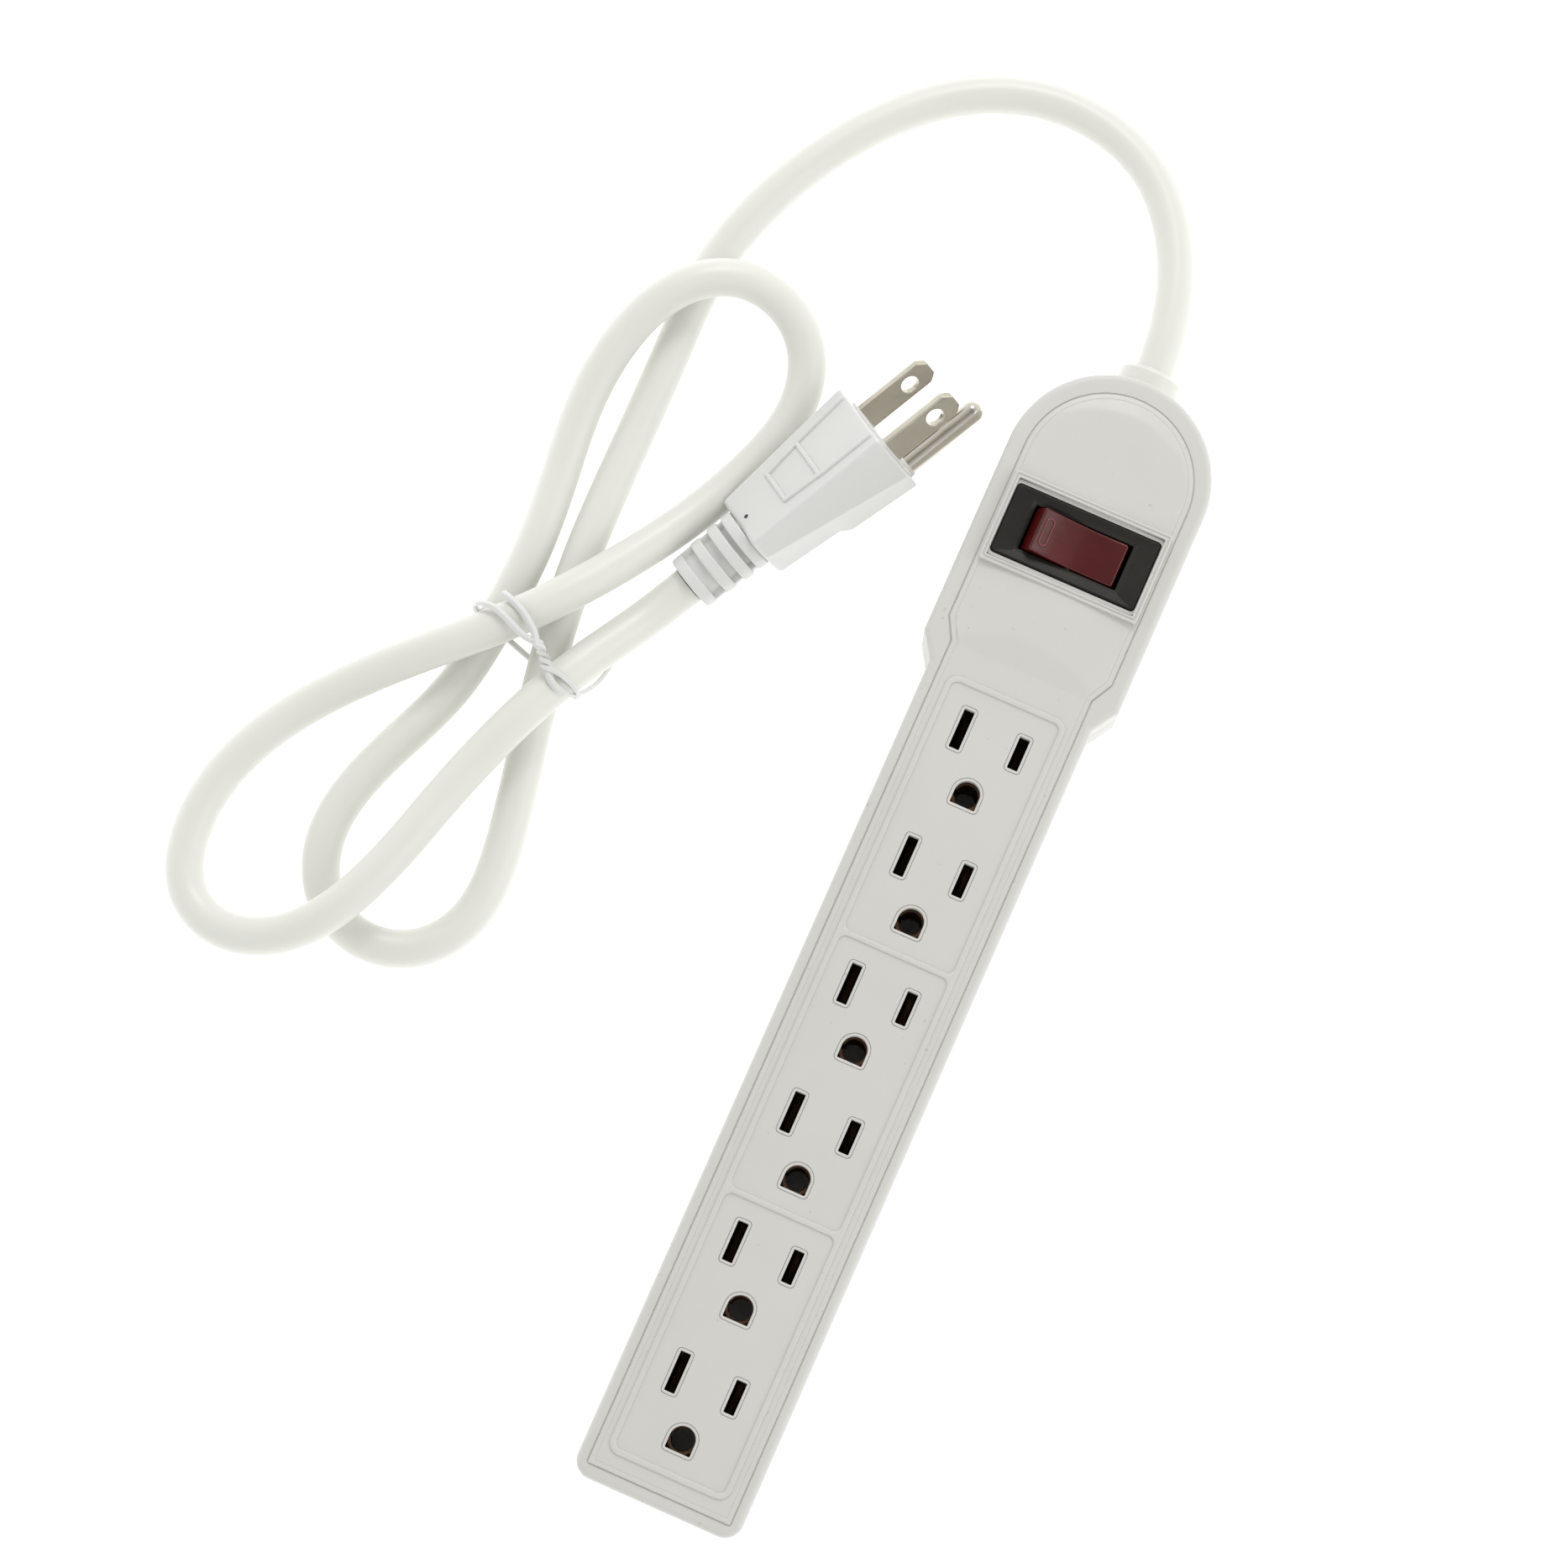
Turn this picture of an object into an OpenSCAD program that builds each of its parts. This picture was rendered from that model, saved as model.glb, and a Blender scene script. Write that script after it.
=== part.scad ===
// Six-outlet power strip: two-part housing, lit rocker switch, brass
// busbars, jacketed mains cord with moulded grounded plug.
// +Y runs along the strip towards the cord end, +X to the hot side, +Z up.
// The origin is the middle of the housing's underside.

/* [Housing] */
// Length of the housing along Y
body_len = 252; // [250:1:256]
// Width of the outlet section
body_w = 36.4; // [36:0.2:38]
// Width of the head that holds the switch
head_w = 43.6; // [43:0.2:45]
// Height of the outlet face above the surface
face_z = 24; // [24:0.2:25]
// Wall thickness of both shells
wall = 2.0; // [1.8:0.1:2.2]
// Thickness of the outlet face
roof = 2.2; // [2:0.1:2.4]
// Height of the parting line between the shells
part_z = 12.5; // [12.5:0.1:12.6]

/* [Outlets] */
// Number of outlets
outlets = 6; // [4:1:6]
// Distance between outlets along Y
pitch = 28.6; // [28:0.1:28.6]
// Y of the ground hole of the outlet nearest the tail
ground_y0 = -111.2; // [-111.4:0.1:-111]
// Side spacing of the two blade slots
slot_gap = 12.7; // [12.7:0.1:12.7]
// Distance from slot line to ground hole
ground_off = 11.9; // [11.9:0.1:11.9]
// Width of a blade slot
slot_t = 2.15; // [2:0.05:2.3]
// Inner radius of a ground contact socket
sock_r = 2.45; // [2.42:0.01:2.48]

/* [Switch] */
// Y of the switch's middle
sw_y = 87.8; // [87.5:0.1:88.2]
// Half of the rocker's total swing in degrees
swing = 8; // [6:0.5:8]
// Height of the rocker's pivot
piv_z = 22; // [22:0.1:22.2]

/* [Cord] */
// Diameter of the cord jacket
cord_d = 8.2; // [7.8:0.1:8.2]
// Height of the cord's axis where it leaves the head
exit_z = 12.5; // [12.5:0.1:12.5]
// Sides of the cord's section
cord_sides = 10; // [8:1:12]
// Rings along the cord
cord_rings = 78; // [60:1:80]

/* [Plug] */
// Length of the flat blades in front of the plug's face
blade_len = 17.5; // [17:0.1:18]
// Thickness of the flat blades
blade_t = 1.52; // [1.4:0.01:1.6]
// Width of the flat blades
blade_w = 6.35; // [6.2:0.05:6.5]
// Radius of the ground pin
pin_r = 2.375; // [2.36:0.005:2.39]
// Roll of the plug about its own axis as it lies
plug_roll = 39; // [39:1:39]
// How far the plug is tipped up at the blades as it lies
plug_pitch = 10; // [10:1:10]

/* [Hidden] */
$fn = 64;

tail_y = -body_len/2;
head_r = head_w/2;
head_c = body_len/2 - head_r;
notch_a = 54.4;
notch_b = 60;
cord_r = cord_d/2;
plug_at = [-47.6, 94.5, 16.15];
plug_yaw = -28.5;
screw_xy = [[-11.6,-119],[11.6,-119],[-11.6,-33],[11.6,-33],[-11.6,50.5],[11.6,50.5],[-12.8,113.2],[12.8,113.2]];
post_xy = [[-7.8,106.6],[7.8,106.6]];
key_y = [-98, 57];
bead_y = ground_y0 + (outlets - 1)*pitch/2 + 6.9;

function ground_y(i) = ground_y0 + i*pitch;
function slot_y(i) = ground_y(i) + ground_off;

// ---- shared shapes -------------------------------------------------

// plan outline of the housing, pulled in by i on every side
module outline(i) {
    bw = body_w/2 - i;
    hw = head_r - i;
    rc = max(4.2 - i, 0.9);
    translate([0, head_c]) circle(r = hw, $fn = 128);
    translate([-hw, notch_b + i*0.6]) square([2*hw, head_c - notch_b - i*0.6]);
    polygon([[-bw, notch_a + i*0.6], [bw, notch_a + i*0.6], [hw, notch_b + i*0.6], [hw, notch_b + 1 + i*0.6], [-hw, notch_b + 1 + i*0.6], [-hw, notch_b + i*0.6]]);
    translate([-bw, tail_y + i + rc]) square([2*bw, notch_a - tail_y - i - rc + i*0.6 + 0.2]);
    translate([-bw + rc, tail_y + i]) square([2*bw - 2*rc, rc + 0.1]);
    for (s = [-1, 1]) translate([s*(bw - rc), tail_y + i + rc]) circle(r = rc);
}

// rectangle with round corners, centred
module rrect(x, y, r) {
    square([x - 2*r, y], center = true);
    square([x, y - 2*r], center = true);
    for (a = [-1, 1], b = [-1, 1]) translate([a*(x/2 - r), b*(y/2 - r)]) circle(r = r);
}

// solid cylinder along +Y from y0 to y1
module ycyl(r, y0, y1) { translate([0, y0, 0]) rotate([-90, 0, 0]) cylinder(r = r, h = y1 - y0); }

// cubic B-spline through a list of control points, clamped at both ends
function ends(P) = let (n = len(P)) concat([2*P[0] - P[1]], P, [2*P[n-1] - P[n-2]]);
function bsp(Q, u) = let (m = len(Q) - 3, i = min(floor(u), m - 1), t = u - i)
    (pow(1-t,3)*Q[i] + (3*t*t*t - 6*t*t + 4)*Q[i+1] + (-3*t*t*t + 3*t*t + 3*t + 1)*Q[i+2] + t*t*t*Q[i+3])/6;
function unit(v) = v/norm(v);

// tube of radius r swept along points P with k sides; the section stays upright
module sweep(P, r, k = 10) {
    n = len(P);
    T = [for (i = [0:n-1]) i == 0 ? unit(P[1] - P[0]) : i == n-1 ? unit(P[n-1] - P[n-2]) : unit(unit(P[i+1] - P[i]) + unit(P[i] - P[i-1]))];
    pts = [for (i = [0:n-1]) let (s = unit(cross([0, 0, 1], T[i])), q = cross(T[i], s))
        for (j = [0:k-1]) P[i] + r*(cos(360*(j + 0.5)/k)*s + sin(360*(j + 0.5)/k)*q)];
    polyhedron(points = pts, faces = concat(
        [[for (j = [0:k-1]) j]],
        [for (i = [0:n-2], j = [0:k-1]) [i*k + (j+1)%k, i*k + j, (i+1)*k + j, (i+1)*k + (j+1)%k]],
        [[for (j = [0:k-1]) (n-1)*k + k - 1 - j]]));
}

// insulated conductor through control points P
module lead(P, r = 1.4, n = 14) {
    Q = ends(P);
    sweep([for (i = [0:n]) bsp(Q, (len(P) - 1)*i/n)], r, 8);
}

// ---- housing --------------------------------------------------------

module slot(x, y, l, z0, h) { translate([x - slot_t/2, y - l/2, z0]) cube([slot_t, l, h]); }

module ground_hole(y, z0, h) {
    translate([0, y, z0]) cylinder(r = 2.65, h = h);
    translate([-2.65, y - 2.7, z0]) cube([5.3, 2.7, h]);
}

module top_cover() {
    color([0.87, 0.87, 0.84]) {
        difference() {
            union() {
                translate([0, 0, part_z]) linear_extrude(face_z - 0.3 - part_z) outline(0);
                translate([0, 0, face_z - 1]) linear_extrude(1) outline(2.9);
                translate([0, 0, face_z - 0.5]) linear_extrude(1.1) intersection() {
                    outline(3.8);
                    translate([-30, 59.5]) square([60, 80]);
                }
                // bead round the outlets
                translate([0, bead_y, face_z - 0.5]) linear_extrude(0.7) rrect(26.5, outlets*pitch + 1.4, 2.6);
                translate([0, sw_y, face_z - 0.5]) linear_extrude(2.2) rrect(35.2, 20, 0.5);
            }
            translate([0, 0, part_z - 1]) linear_extrude(face_z - roof - part_z + 1) outline(wall);
            for (i = [0:outlets-1]) {
                slot(-slot_gap/2, slot_y(i), 8.4, face_z - 6, 10);
                slot(slot_gap/2, slot_y(i), 6.9, face_z - 6, 10);
                ground_hole(ground_y(i), face_z - 6, 10);
            }
            for (i = [0:2:outlets-2]) translate([0, ground_y(i) + pitch - 7.4, face_z]) linear_extrude(2) rrect(24.1, 2*pitch - 1.2, 1.6);
            translate([0, sw_y, face_z]) linear_extrude(4) rrect(32.6, 17, 0.5);
            translate([-14, sw_y - 6.6, face_z - 5]) cube([28, 13.2, 10]);
            translate([0, 0, exit_z]) ycyl(5.65, 116, 130);
            translate([0, 0, exit_z]) ycyl(6.75, body_len/2 - 1, 130);
        }
        for (p = screw_xy) translate([p[0], p[1], 5.05]) difference() {
            cylinder(r = 2.7, h = face_z - roof - 5);
            translate([0, 0, -1]) cylinder(r = 1.3, h = 11);
        }
    }
}

module keyhole(y) {
    translate([0, y, -1]) cylinder(r = 3.8, h = 3.5);
    translate([-1.9, y, -1]) cube([3.8, 8, 3.5]);
    translate([0, y + 8, -1]) cylinder(r = 1.9, h = 3.5);
}

module base_cover() {
    color([0.86, 0.86, 0.83]) difference() {
        union() {
            difference() {
                linear_extrude(part_z) outline(0);
                translate([0, 0, wall]) linear_extrude(part_z) outline(wall);
            }
            // tongue that locates the top shell
            difference() {
                translate([0, 0, part_z - 3]) linear_extrude(5) outline(wall - 0.1);
                translate([0, 0, part_z - 4]) linear_extrude(7) outline(wall + 1.2);
                translate([0, 0, part_z]) linear_extrude(7) difference() { outline(-5); outline(wall + 0.15); }
                translate([0, 0, exit_z]) ycyl(7.5, 112, 130);
            }
            for (p = screw_xy) translate([p[0], p[1], 1]) cylinder(r = 3.9, h = 4);
            // cord saddle and clamp posts
            translate([-5, 103.6, 1]) cube([10, 6, exit_z - cord_r - 1]);
            for (p = post_xy) translate([p[0], p[1], 1]) cylinder(r = 2.5, h = exit_z + cord_r - 1.05);
        }
        for (p = screw_xy) {
            translate([p[0], p[1], -1]) cylinder(r = 1.7, h = 8);
            translate([p[0], p[1], -1]) cylinder(r = 3.2, h = 3.6);
        }
        for (p = post_xy) translate([p[0], p[1], 6]) cylinder(r = 1.2, h = 20);
        for (y = key_y) keyhole(y);
        translate([0, 0, exit_z]) ycyl(5.65, 118, 130);
        translate([0, 0, exit_z]) ycyl(6.75, body_len/2 - 1, 130);
        translate([0, 0, exit_z]) ycyl(cord_r + 0.02, 97, 118.5);
    }
}

module housing_screws() {
    color([0.62, 0.63, 0.65]) for (p = screw_xy) translate([p[0], p[1], 0.6]) difference() {
        union() { cylinder(r = 2.9, h = 2); cylinder(r = 1.25, h = 13); }
        for (a = [0, 90]) rotate(a) translate([-1.9, -0.35, -1]) cube([3.8, 0.7, 2]);
    }
}

// insulating tray that holds the three busbars apart
module busbar_tray() {
    color([0.8, 0.8, 0.76]) union() {
        for (y = [[-114.5, 11], [-86, 134]]) translate([-7.2, y[0], wall]) cube([14.4, y[1], 1]);
        for (s = [-1, 1]) {
            translate([s*slot_gap/2 - 0.85, -104, wall]) cube([1.7, 153, 5 - wall]);
            translate([s*3.75 - 0.4, -114.5, wall]) cube([0.8, 11, 7]);
            translate([s*3.75 - 0.4, -86, wall]) cube([0.8, 134, 7]);
        }
        for (i = [0:outlets-2]) translate([-0.9, ground_y(i) + 5, wall]) cube([1.8, 2, 12 - wall]);
    }
}

// ---- busbars --------------------------------------------------------

// one blade clip: two leaves that pinch at z = 15
module clip(l) {
    rotate([90, 0, 0]) linear_extrude(l, center = true) polygon([
        [-1.6, 5], [1.6, 5], [1.6, 9], [1.2, 15], [1.9, 19.5], [1.4, 19.5], [0.6, 15], [1, 9], [1, 5.8],
        [-1, 5.8], [-1, 9], [-0.6, 15], [-1.4, 19.5], [-1.9, 19.5], [-1.2, 15], [-1.6, 9]]);
}

module blade_busbar(x, l) {
    color([0.72, 0.55, 0.28]) {
        translate([x - 1.9, -104, 5]) cube([3.8, 156.8, 0.8]);
        translate([x - 3, 52, 5]) cube([6, 0.8, 6]);
        for (i = [0:outlets-1]) translate([x, slot_y(i), 0]) clip(l);
    }
}

module neutral_busbar() { blade_busbar(-slot_gap/2, 8.4); }
module hot_busbar() { blade_busbar(slot_gap/2, 7); }

module ground_busbar() {
    color([0.74, 0.57, 0.3]) difference() {
        union() {
            for (i = [0:outlets-1]) translate([0, ground_y(i), 6]) cylinder(r = 3.1, h = 13.5);
            translate([-0.4, ground_y(0), 12]) cube([0.8, (outlets - 1)*pitch + 4.2, 5]);
        }
        for (i = [0:outlets-1]) {
            translate([0, ground_y(i), 5]) cylinder(r = sock_r, h = 20);
            translate([-3.5, ground_y(i) - 0.6, 5]) cube([2.5, 1.2, 20]);
        }
    }
}

// ---- switch ---------------------------------------------------------

module switch_housing() {
    color([0.2, 0.2, 0.19]) difference() {
        union() {
            translate([0, sw_y, face_z]) linear_extrude(1.2) rrect(32.1, 15.4, 0.8);
            translate([-13.8, sw_y - 6.4, 8.5]) cube([27.6, 12.8, face_z - 8]);
            for (s = [-1, 1]) translate([0, sw_y + 3, 0]) rotate([90, 0, 0]) linear_extrude(6)
                polygon([[s*13.5, 19.5], [s*14.6, face_z - roof - 0.1], [s*13.5, face_z - roof - 0.1]]);
        }
        translate([-10.85, sw_y - 5, 9.5]) cube([21.7, 10, 20]);
        translate([0, 0, piv_z]) ycyl(1.02, sw_y - 6.3, sw_y + 6.3);
        translate([-0.42, sw_y - 2.52, 8]) cube([0.84, 5.04, 3]);
        translate([5.58, sw_y - 2.52, 8]) cube([0.84, 5.04, 3]);
        translate([-8.42, sw_y - 1.82, 8]) cube([0.84, 3.64, 3]);
    }
}

// everything on the rocker, turned to its rest position (off: +X end down)
module on_rocker() { translate([0, sw_y, piv_z]) rotate([0, swing, 0]) children(); }

module rocker() {
    color([0.42, 0.09, 0.1]) on_rocker() difference() {
        union() {
            rotate([90, 0, 0]) linear_extrude(9.5, center = true) polygon(concat(
                [for (i = [-10:10]) let (x = 0.95*i) [x, 3 + 1.2*pow(x/9.5, 2)]],
                [[10.5, -1], [9.6, -3], [-9.6, -3], [-10.5, -1]]));
            translate([0, 0, -6]) cylinder(r = 2.4, h = 4);
            // raised bar on the face
            translate([-7.4, -2.6, 3]) cube([1, 5.2, 1]);
        }
        ycyl(1.07, -6, 6);
        translate([0, 0, -7]) cylinder(r = 1.35, h = 5.1);
        for (s = [-1, 1]) translate([s*5.9 - 2.7, -3.7, -4]) cube([5.4, 7.4, 5.2]);
    }
}

module rocker_pin() { color([0.7, 0.71, 0.73]) translate([0, 0, piv_z]) ycyl(1, sw_y - 6.2, sw_y + 6.2); }

module rocker_plunger() {
    color([0.9, 0.9, 0.86]) on_rocker() {
        translate([0, 0, -7]) cylinder(r = 1.15, h = 2.6);
        translate([0, 0, -7]) sphere(r = 1.3);
    }
}

// coil spring between the plunger and the rocker
module plunger_spring() {
    n = 48;
    color([0.75, 0.76, 0.78]) on_rocker() coil([for (i = [0:n]) [0.95*cos(i*30), 0.95*sin(i*30), -4.2 + 2.05*i/n]], 0.15, 6);
}
module coil(P, r, k) {
    n = len(P);
    pts = [for (i = [0:n-1]) let (o = unit([P[i][0], P[i][1], 0]), q = [0, 0, 1])
        for (j = [0:k-1]) P[i] + r*(cos(360*j/k)*o + sin(360*j/k)*q)];
    polyhedron(points = pts, faces = concat(
        [[for (j = [0:k-1]) k - 1 - j]],
        [for (i = [0:n-2], j = [0:k-1]) [i*k + j, i*k + (j+1)%k, (i+1)*k + (j+1)%k, (i+1)*k + j]],
        [[for (j = [0:k-1]) (n-1)*k + j]]));
}

// see-saw contact, tipped to its rest position (-X end down)
module contact_arm() {
    color([0.76, 0.6, 0.32]) translate([0, sw_y, 12.6]) rotate([0, -swing*0.75, 0]) {
        translate([-7, -2.2, 0]) cube([14, 4.4, 0.8]);
        translate([6, 0, -0.8]) cylinder(r = 1.4, h = 0.9);
    }
}

module line_terminal() { color([0.74, 0.58, 0.3]) translate([-0.4, sw_y - 2.5, 3.2]) cube([0.8, 5, 9.3]); }
module load_terminal() {
    color([0.74, 0.58, 0.3]) {
        translate([5.6, sw_y - 2.5, 3.2]) cube([0.8, 5, 7.5]);
        translate([4.4, sw_y - 2.5, 10]) cube([3.2, 5, 0.8]);
    }
}
module lamp_terminal() { color([0.74, 0.58, 0.3]) translate([-8.4, sw_y - 1.8, 3.2]) cube([0.8, 3.6, 7]); }

module neon_lamp() {
    color([0.9, 0.75, 0.6]) translate([-9.2, sw_y + 3.6, 10.85]) rotate([0, 90, 0]) {
        cylinder(r = 1.25, h = 5);
        translate([0, 0, 5]) sphere(r = 1.2);
    }
}
module lamp_resistor() {
    color([0.75, 0.62, 0.45]) translate([-9.4, sw_y - 3.7, 10.7]) rotate([0, 90, 0]) {
        cylinder(r = 0.8, h = 6);
        translate([0, 0, 0.2]) cylinder(r = 1.05, h = 1.4);
        translate([0, 0, 4.4]) cylinder(r = 1.05, h = 1.4);
    }
}

// ---- cord entry -----------------------------------------------------

// collar outside the head, neck through the wall, flange inside
module cord_gland() {
    e = body_len/2;
    color([0.88, 0.88, 0.85]) translate([0, 0, exit_z]) rotate([-90, 0, 0]) rotate_extrude() polygon([
        [cord_r + 0.2, e - 6.5], [7.1, e - 6.5], [7.1, e - 4.3], [5.6, e - 4.3], [5.6, e - 0.98], [6.6, e - 0.98],
        [6.6, e + 3.3], [6.1, e + 3.8], [4.8, e + 3.8], [4.8, e + 4.5], [4.6, e + 4.7], [cord_r + 0.2, e + 4.7]]);
}

module cord_clamp() {
    color([0.5, 0.5, 0.5]) difference() {
        translate([-10.5, 103.6, exit_z + cord_r]) cube([21, 6, 2.4]);
        for (p = post_xy) translate([p[0], p[1], 0]) cylinder(r = 1.5, h = 30);
    }
}
module clamp_screws() {
    color([0.62, 0.63, 0.65]) for (p = post_xy) translate([p[0], p[1], 0]) {
        translate([0, 0, exit_z + cord_r + 2.4]) cylinder(r = 2.4, h = 1.6);
        translate([0, 0, 8]) cylinder(r = 1.15, h = exit_z + cord_r - 5);
    }
}

module cord_tail() { color([0.9, 0.9, 0.87]) translate([0, 0, exit_z]) ycyl(cord_r, 98, body_len/2 - 0.4); }

module line_lead() {
    color([0.15, 0.15, 0.15]) lead([[1.7, 97.6, 11.4], [1.7, 96.6, 11.4], [1.8, 96, 9.2], [1.6, 95.6, 6.4], [1, 93.6, 5.2], [0.1, 92.2, 5.2], [0, 91.4, 5.2], [0, sw_y + 2.7, 5.2]]);
}
module neutral_lead() {
    color([0.92, 0.92, 0.9]) {
        lead([[-1.7, 97.6, 11.4], [-1.8, 96.6, 11.4], [-4, 96.2, 11], [-9, 97, 9], [-15.6, 98, 8], [-17.6, 91, 7], [-17.2, 80, 6.6], [-17, 69, 6.4], [-15, 61, 6.4], [-11, 57, 7], [-8.2, 55.8, 7.7], [-7.8, 54.4, 7.8], [-7.8, 53, 7.8]], 1.4, 22);
        // branch to the lamp tab
        lead([[-8, sw_y - 2, 5.4], [-8, 83, 5.2], [-7, 76, 4.8], [-5.8, 66, 5], [-5.2, 58, 6.8], [-5, 54.6, 7.8], [-5, 53, 7.8]], 0.9, 12);
    }
}
module ground_lead() {
    color([0.2, 0.45, 0.25]) lead([[0, 97.6, 14.6], [0.2, 96.6, 14.6], [3, 96.4, 14.4], [9, 97.2, 12.5], [15.6, 98, 10], [17.6, 91, 8], [17.2, 80, 7], [17, 69, 7], [15, 62, 8.5], [9, 57, 12], [3, 52, 14.3], [0.4, 46, 14.5], [0, 36.1, 14.5]], 1.4, 24);
}
module load_jumper() {
    color([0.15, 0.15, 0.15]) lead([[6, sw_y - 2.8, 5.3], [6, 83.6, 5.3], [6.8, 76, 4.8], [7, 66, 5], [6.5, 58, 6.8], [6.35, 54.6, 7.8], [6.35, 53.1, 7.8]], 1.4, 12);
}

// ---- cord -----------------------------------------------------------

// control points of the cord from the collar to the plug
cord_path = [
    [0,126,12.5],[0,138,12.3],[-4,156,10],[-17,174,6.5],[-38,180.6,4.6],[-58,175,4.2],[-75,161,4.2],[-89,139,4.2],
    [-96,116,4.2],[-95,96,4.2],[-95,77,4.2],[-95,58,4.6],[-94,40,6],[-91,19,5.8],[-86,-4,4.2],[-82,-26,4.2],
    [-88,-40,4.2],[-101,-46,4.2],[-115,-41,4.2],[-121,-26,4.2],[-116,-8,4.2],[-107,10,4.3],[-105,28,5.9],[-104,46,5.8],
    [-106,64,4.6],[-108,84,8],[-102,106,13.5],[-87,117,13.2],[-70,112,8],[-64,96,4.2],[-70.3,77.6,4.2],[-78.8,60.6,5.8],
    [-89,43,14.2],[-101,28,15],[-118,13,12],[-134,-3,5.5],[-144,-20,4.2],[-147,-37,4.2],[-142,-51,4.4],[-129,-56,8],
    [-115,-50,14],[-107,-37,14.6],[-102,-22,13],[-98,-6,12.6],[-88,20,16],[-77.3,39.7,5.15],[-71.2,51.05,7.43]];

module power_cord() {
    Q = ends(cord_path);
    n = cord_rings - 1;
    color([0.9, 0.9, 0.87]) sweep([for (i = [0:n]) bsp(Q, (len(cord_path) - 1)*i/n)], cord_r, cord_sides);
}

// wire tie: one closed loop pulled tight round the four runs of the cord
tie_at = [-96.5, 24.4];
tie_yaw = -17.5;
tie_r = 0.55;
// where the runs pass the tie's plane: across, height, half width across
tie_runs = [[5.3, 5.7, 4.6], [-9.1, 5.6, 4.3], [-7, 14.3, 4.7], [10.2, 13.4, 4.5]];
function tie_best(a) = let (v = [for (c = tie_runs) (c[0])*cos(a) + c[1]*sin(a)]) [for (k = [0:3]) if (v[k] == max(v)) k][0];
function tie_pt(a) = let (c = tie_runs[tie_best(a)], u = c[0] + (c[2] + tie_r + 0.45)*cos(a), z = c[1] + (cord_r + tie_r + 0.12)*sin(a))
    [tie_at[0] + u*cos(tie_yaw), tie_at[1] + u*sin(tie_yaw), z];
module twist_tie() {
    n = 36; k = 8;
    nrm = [-sin(tie_yaw), cos(tie_yaw), 0];
    P = [for (i = [0:n-1]) tie_pt(360*i/n)];
    pts = [for (i = [0:n-1]) let (t = unit(unit(P[(i+1)%n] - P[i]) + unit(P[i] - P[(i+n-1)%n])), o = cross(t, nrm))
        for (j = [0:k-1]) P[i] + tie_r*(cos(360*(j + 0.5)/k)*o + sin(360*(j + 0.5)/k)*nrm)];
    color([0.93, 0.93, 0.92]) polyhedron(points = pts, faces = [for (i = [0:n-1], j = [0:k-1])
        [i*k + j, i*k + (j+1)%k, ((i+1)%n)*k + (j+1)%k, ((i+1)%n)*k + j]]);
}

// ---- plug -----------------------------------------------------------
// In the plug's own frame +Y runs out along the blades, the blades sit at
// z = 0 and the ground pin at z = -ground_off.

module in_plug() { translate(plug_at) rotate([0, 0, plug_yaw]) rotate([plug_pitch, 0, 0]) rotate([0, -plug_roll, 0]) children(); }

// six-sided section: flat back at +t, ridge at -g
module sect(w, t, c, g, e) { polygon([[-w, t], [-w, -c], [-e, -g], [e, -g], [w, -c], [w, t]]); }
// slab of the section from y0 to y1
module slab(w, t, c, g, e, y0, y1) { translate([0, y1, 0]) rotate([90, 0, 0]) linear_extrude(y1 - y0) sect(w, t, c, g, e); }

module plug_overmould() {
    color([0.92, 0.92, 0.9]) in_plug() difference() {
        union() {
            hull() {
                slab(10.4, 7.6, 5.2, 13.6, 3.6, -0.4, 0);
                slab(8.3, 5.2, 0.2, 10.4, 3.5, -34, -33.6);
            }
            hull() {
                translate([-2.8, -0.4, -15.8]) cube([5.6, 0.4, 8]);
                translate([-2.6, -18.4, -14.6]) cube([5.2, 0.4, 6]);
            }
            ycyl(5.1, -50, -33);
            for (y = [-35.2, -39.0, -43.5, -48.6]) ycyl(6.6 + (y + 39)*0.05, y - 1.2, y + 1.2);
        }
        slab(8.42, 3.82, 4.42, 14.62, 1.22, -5, 1);
        for (s = [-1, 1]) translate([s*slot_gap/2 - blade_t/2 - 0.02, -12.05, -blade_w/2 - 0.02]) cube([blade_t + 0.04, 14, blade_w + 0.04]);
        translate([0, 0, -ground_off]) ycyl(2.2, -12.05, 2);
        ycyl(cord_r + 0.02, -51, -26);
    }
}

module plug_blade_carrier() {
    color([0.88, 0.88, 0.86]) in_plug() difference() {
        slab(8.4, 3.8, 4.4, 14.6, 1.2, -4.98, 0.5);
        for (s = [-1, 1]) translate([s*slot_gap/2 - blade_t/2 - 0.02, -12.05, -blade_w/2 - 0.02]) cube([blade_t + 0.04, 14, blade_w + 0.04]);
        translate([0, 0, -ground_off]) ycyl(2.2, -12, 2);
    }
}

module blade() {
    difference() {
        rotate([90, 0, 90]) linear_extrude(blade_t, center = true) polygon([
            [-12, -blade_w/2], [blade_len - 1.6, -blade_w/2], [blade_len, -blade_w/2 + 1.5], [blade_len, blade_w/2 - 1.5],
            [blade_len - 1.6, blade_w/2], [-12, blade_w/2]]);
        translate([-2, 11.9, 0]) rotate([0, 90, 0]) cylinder(r = 1.98, h = 4);
    }
}
module plug_neutral_blade() { color([0.75, 0.73, 0.68]) in_plug() translate([-slot_gap/2, 0, 0]) blade(); }
module plug_hot_blade() { color([0.75, 0.73, 0.68]) in_plug() translate([slot_gap/2, 0, 0]) blade(); }

module plug_ground_pin() {
    color([0.75, 0.73, 0.68]) in_plug() translate([0, 0, -ground_off]) rotate([-90, 0, 0]) rotate_extrude() polygon(concat(
        [[0, -12], [2.15, -12], [2.15, 0.5], [pin_r, 0.5], [pin_r, 18.4]],
        [for (a = [15:15:75]) [pin_r*cos(a), 18.4 + 2.4*sin(a)]], [[0, 20.8]]));
}

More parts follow.
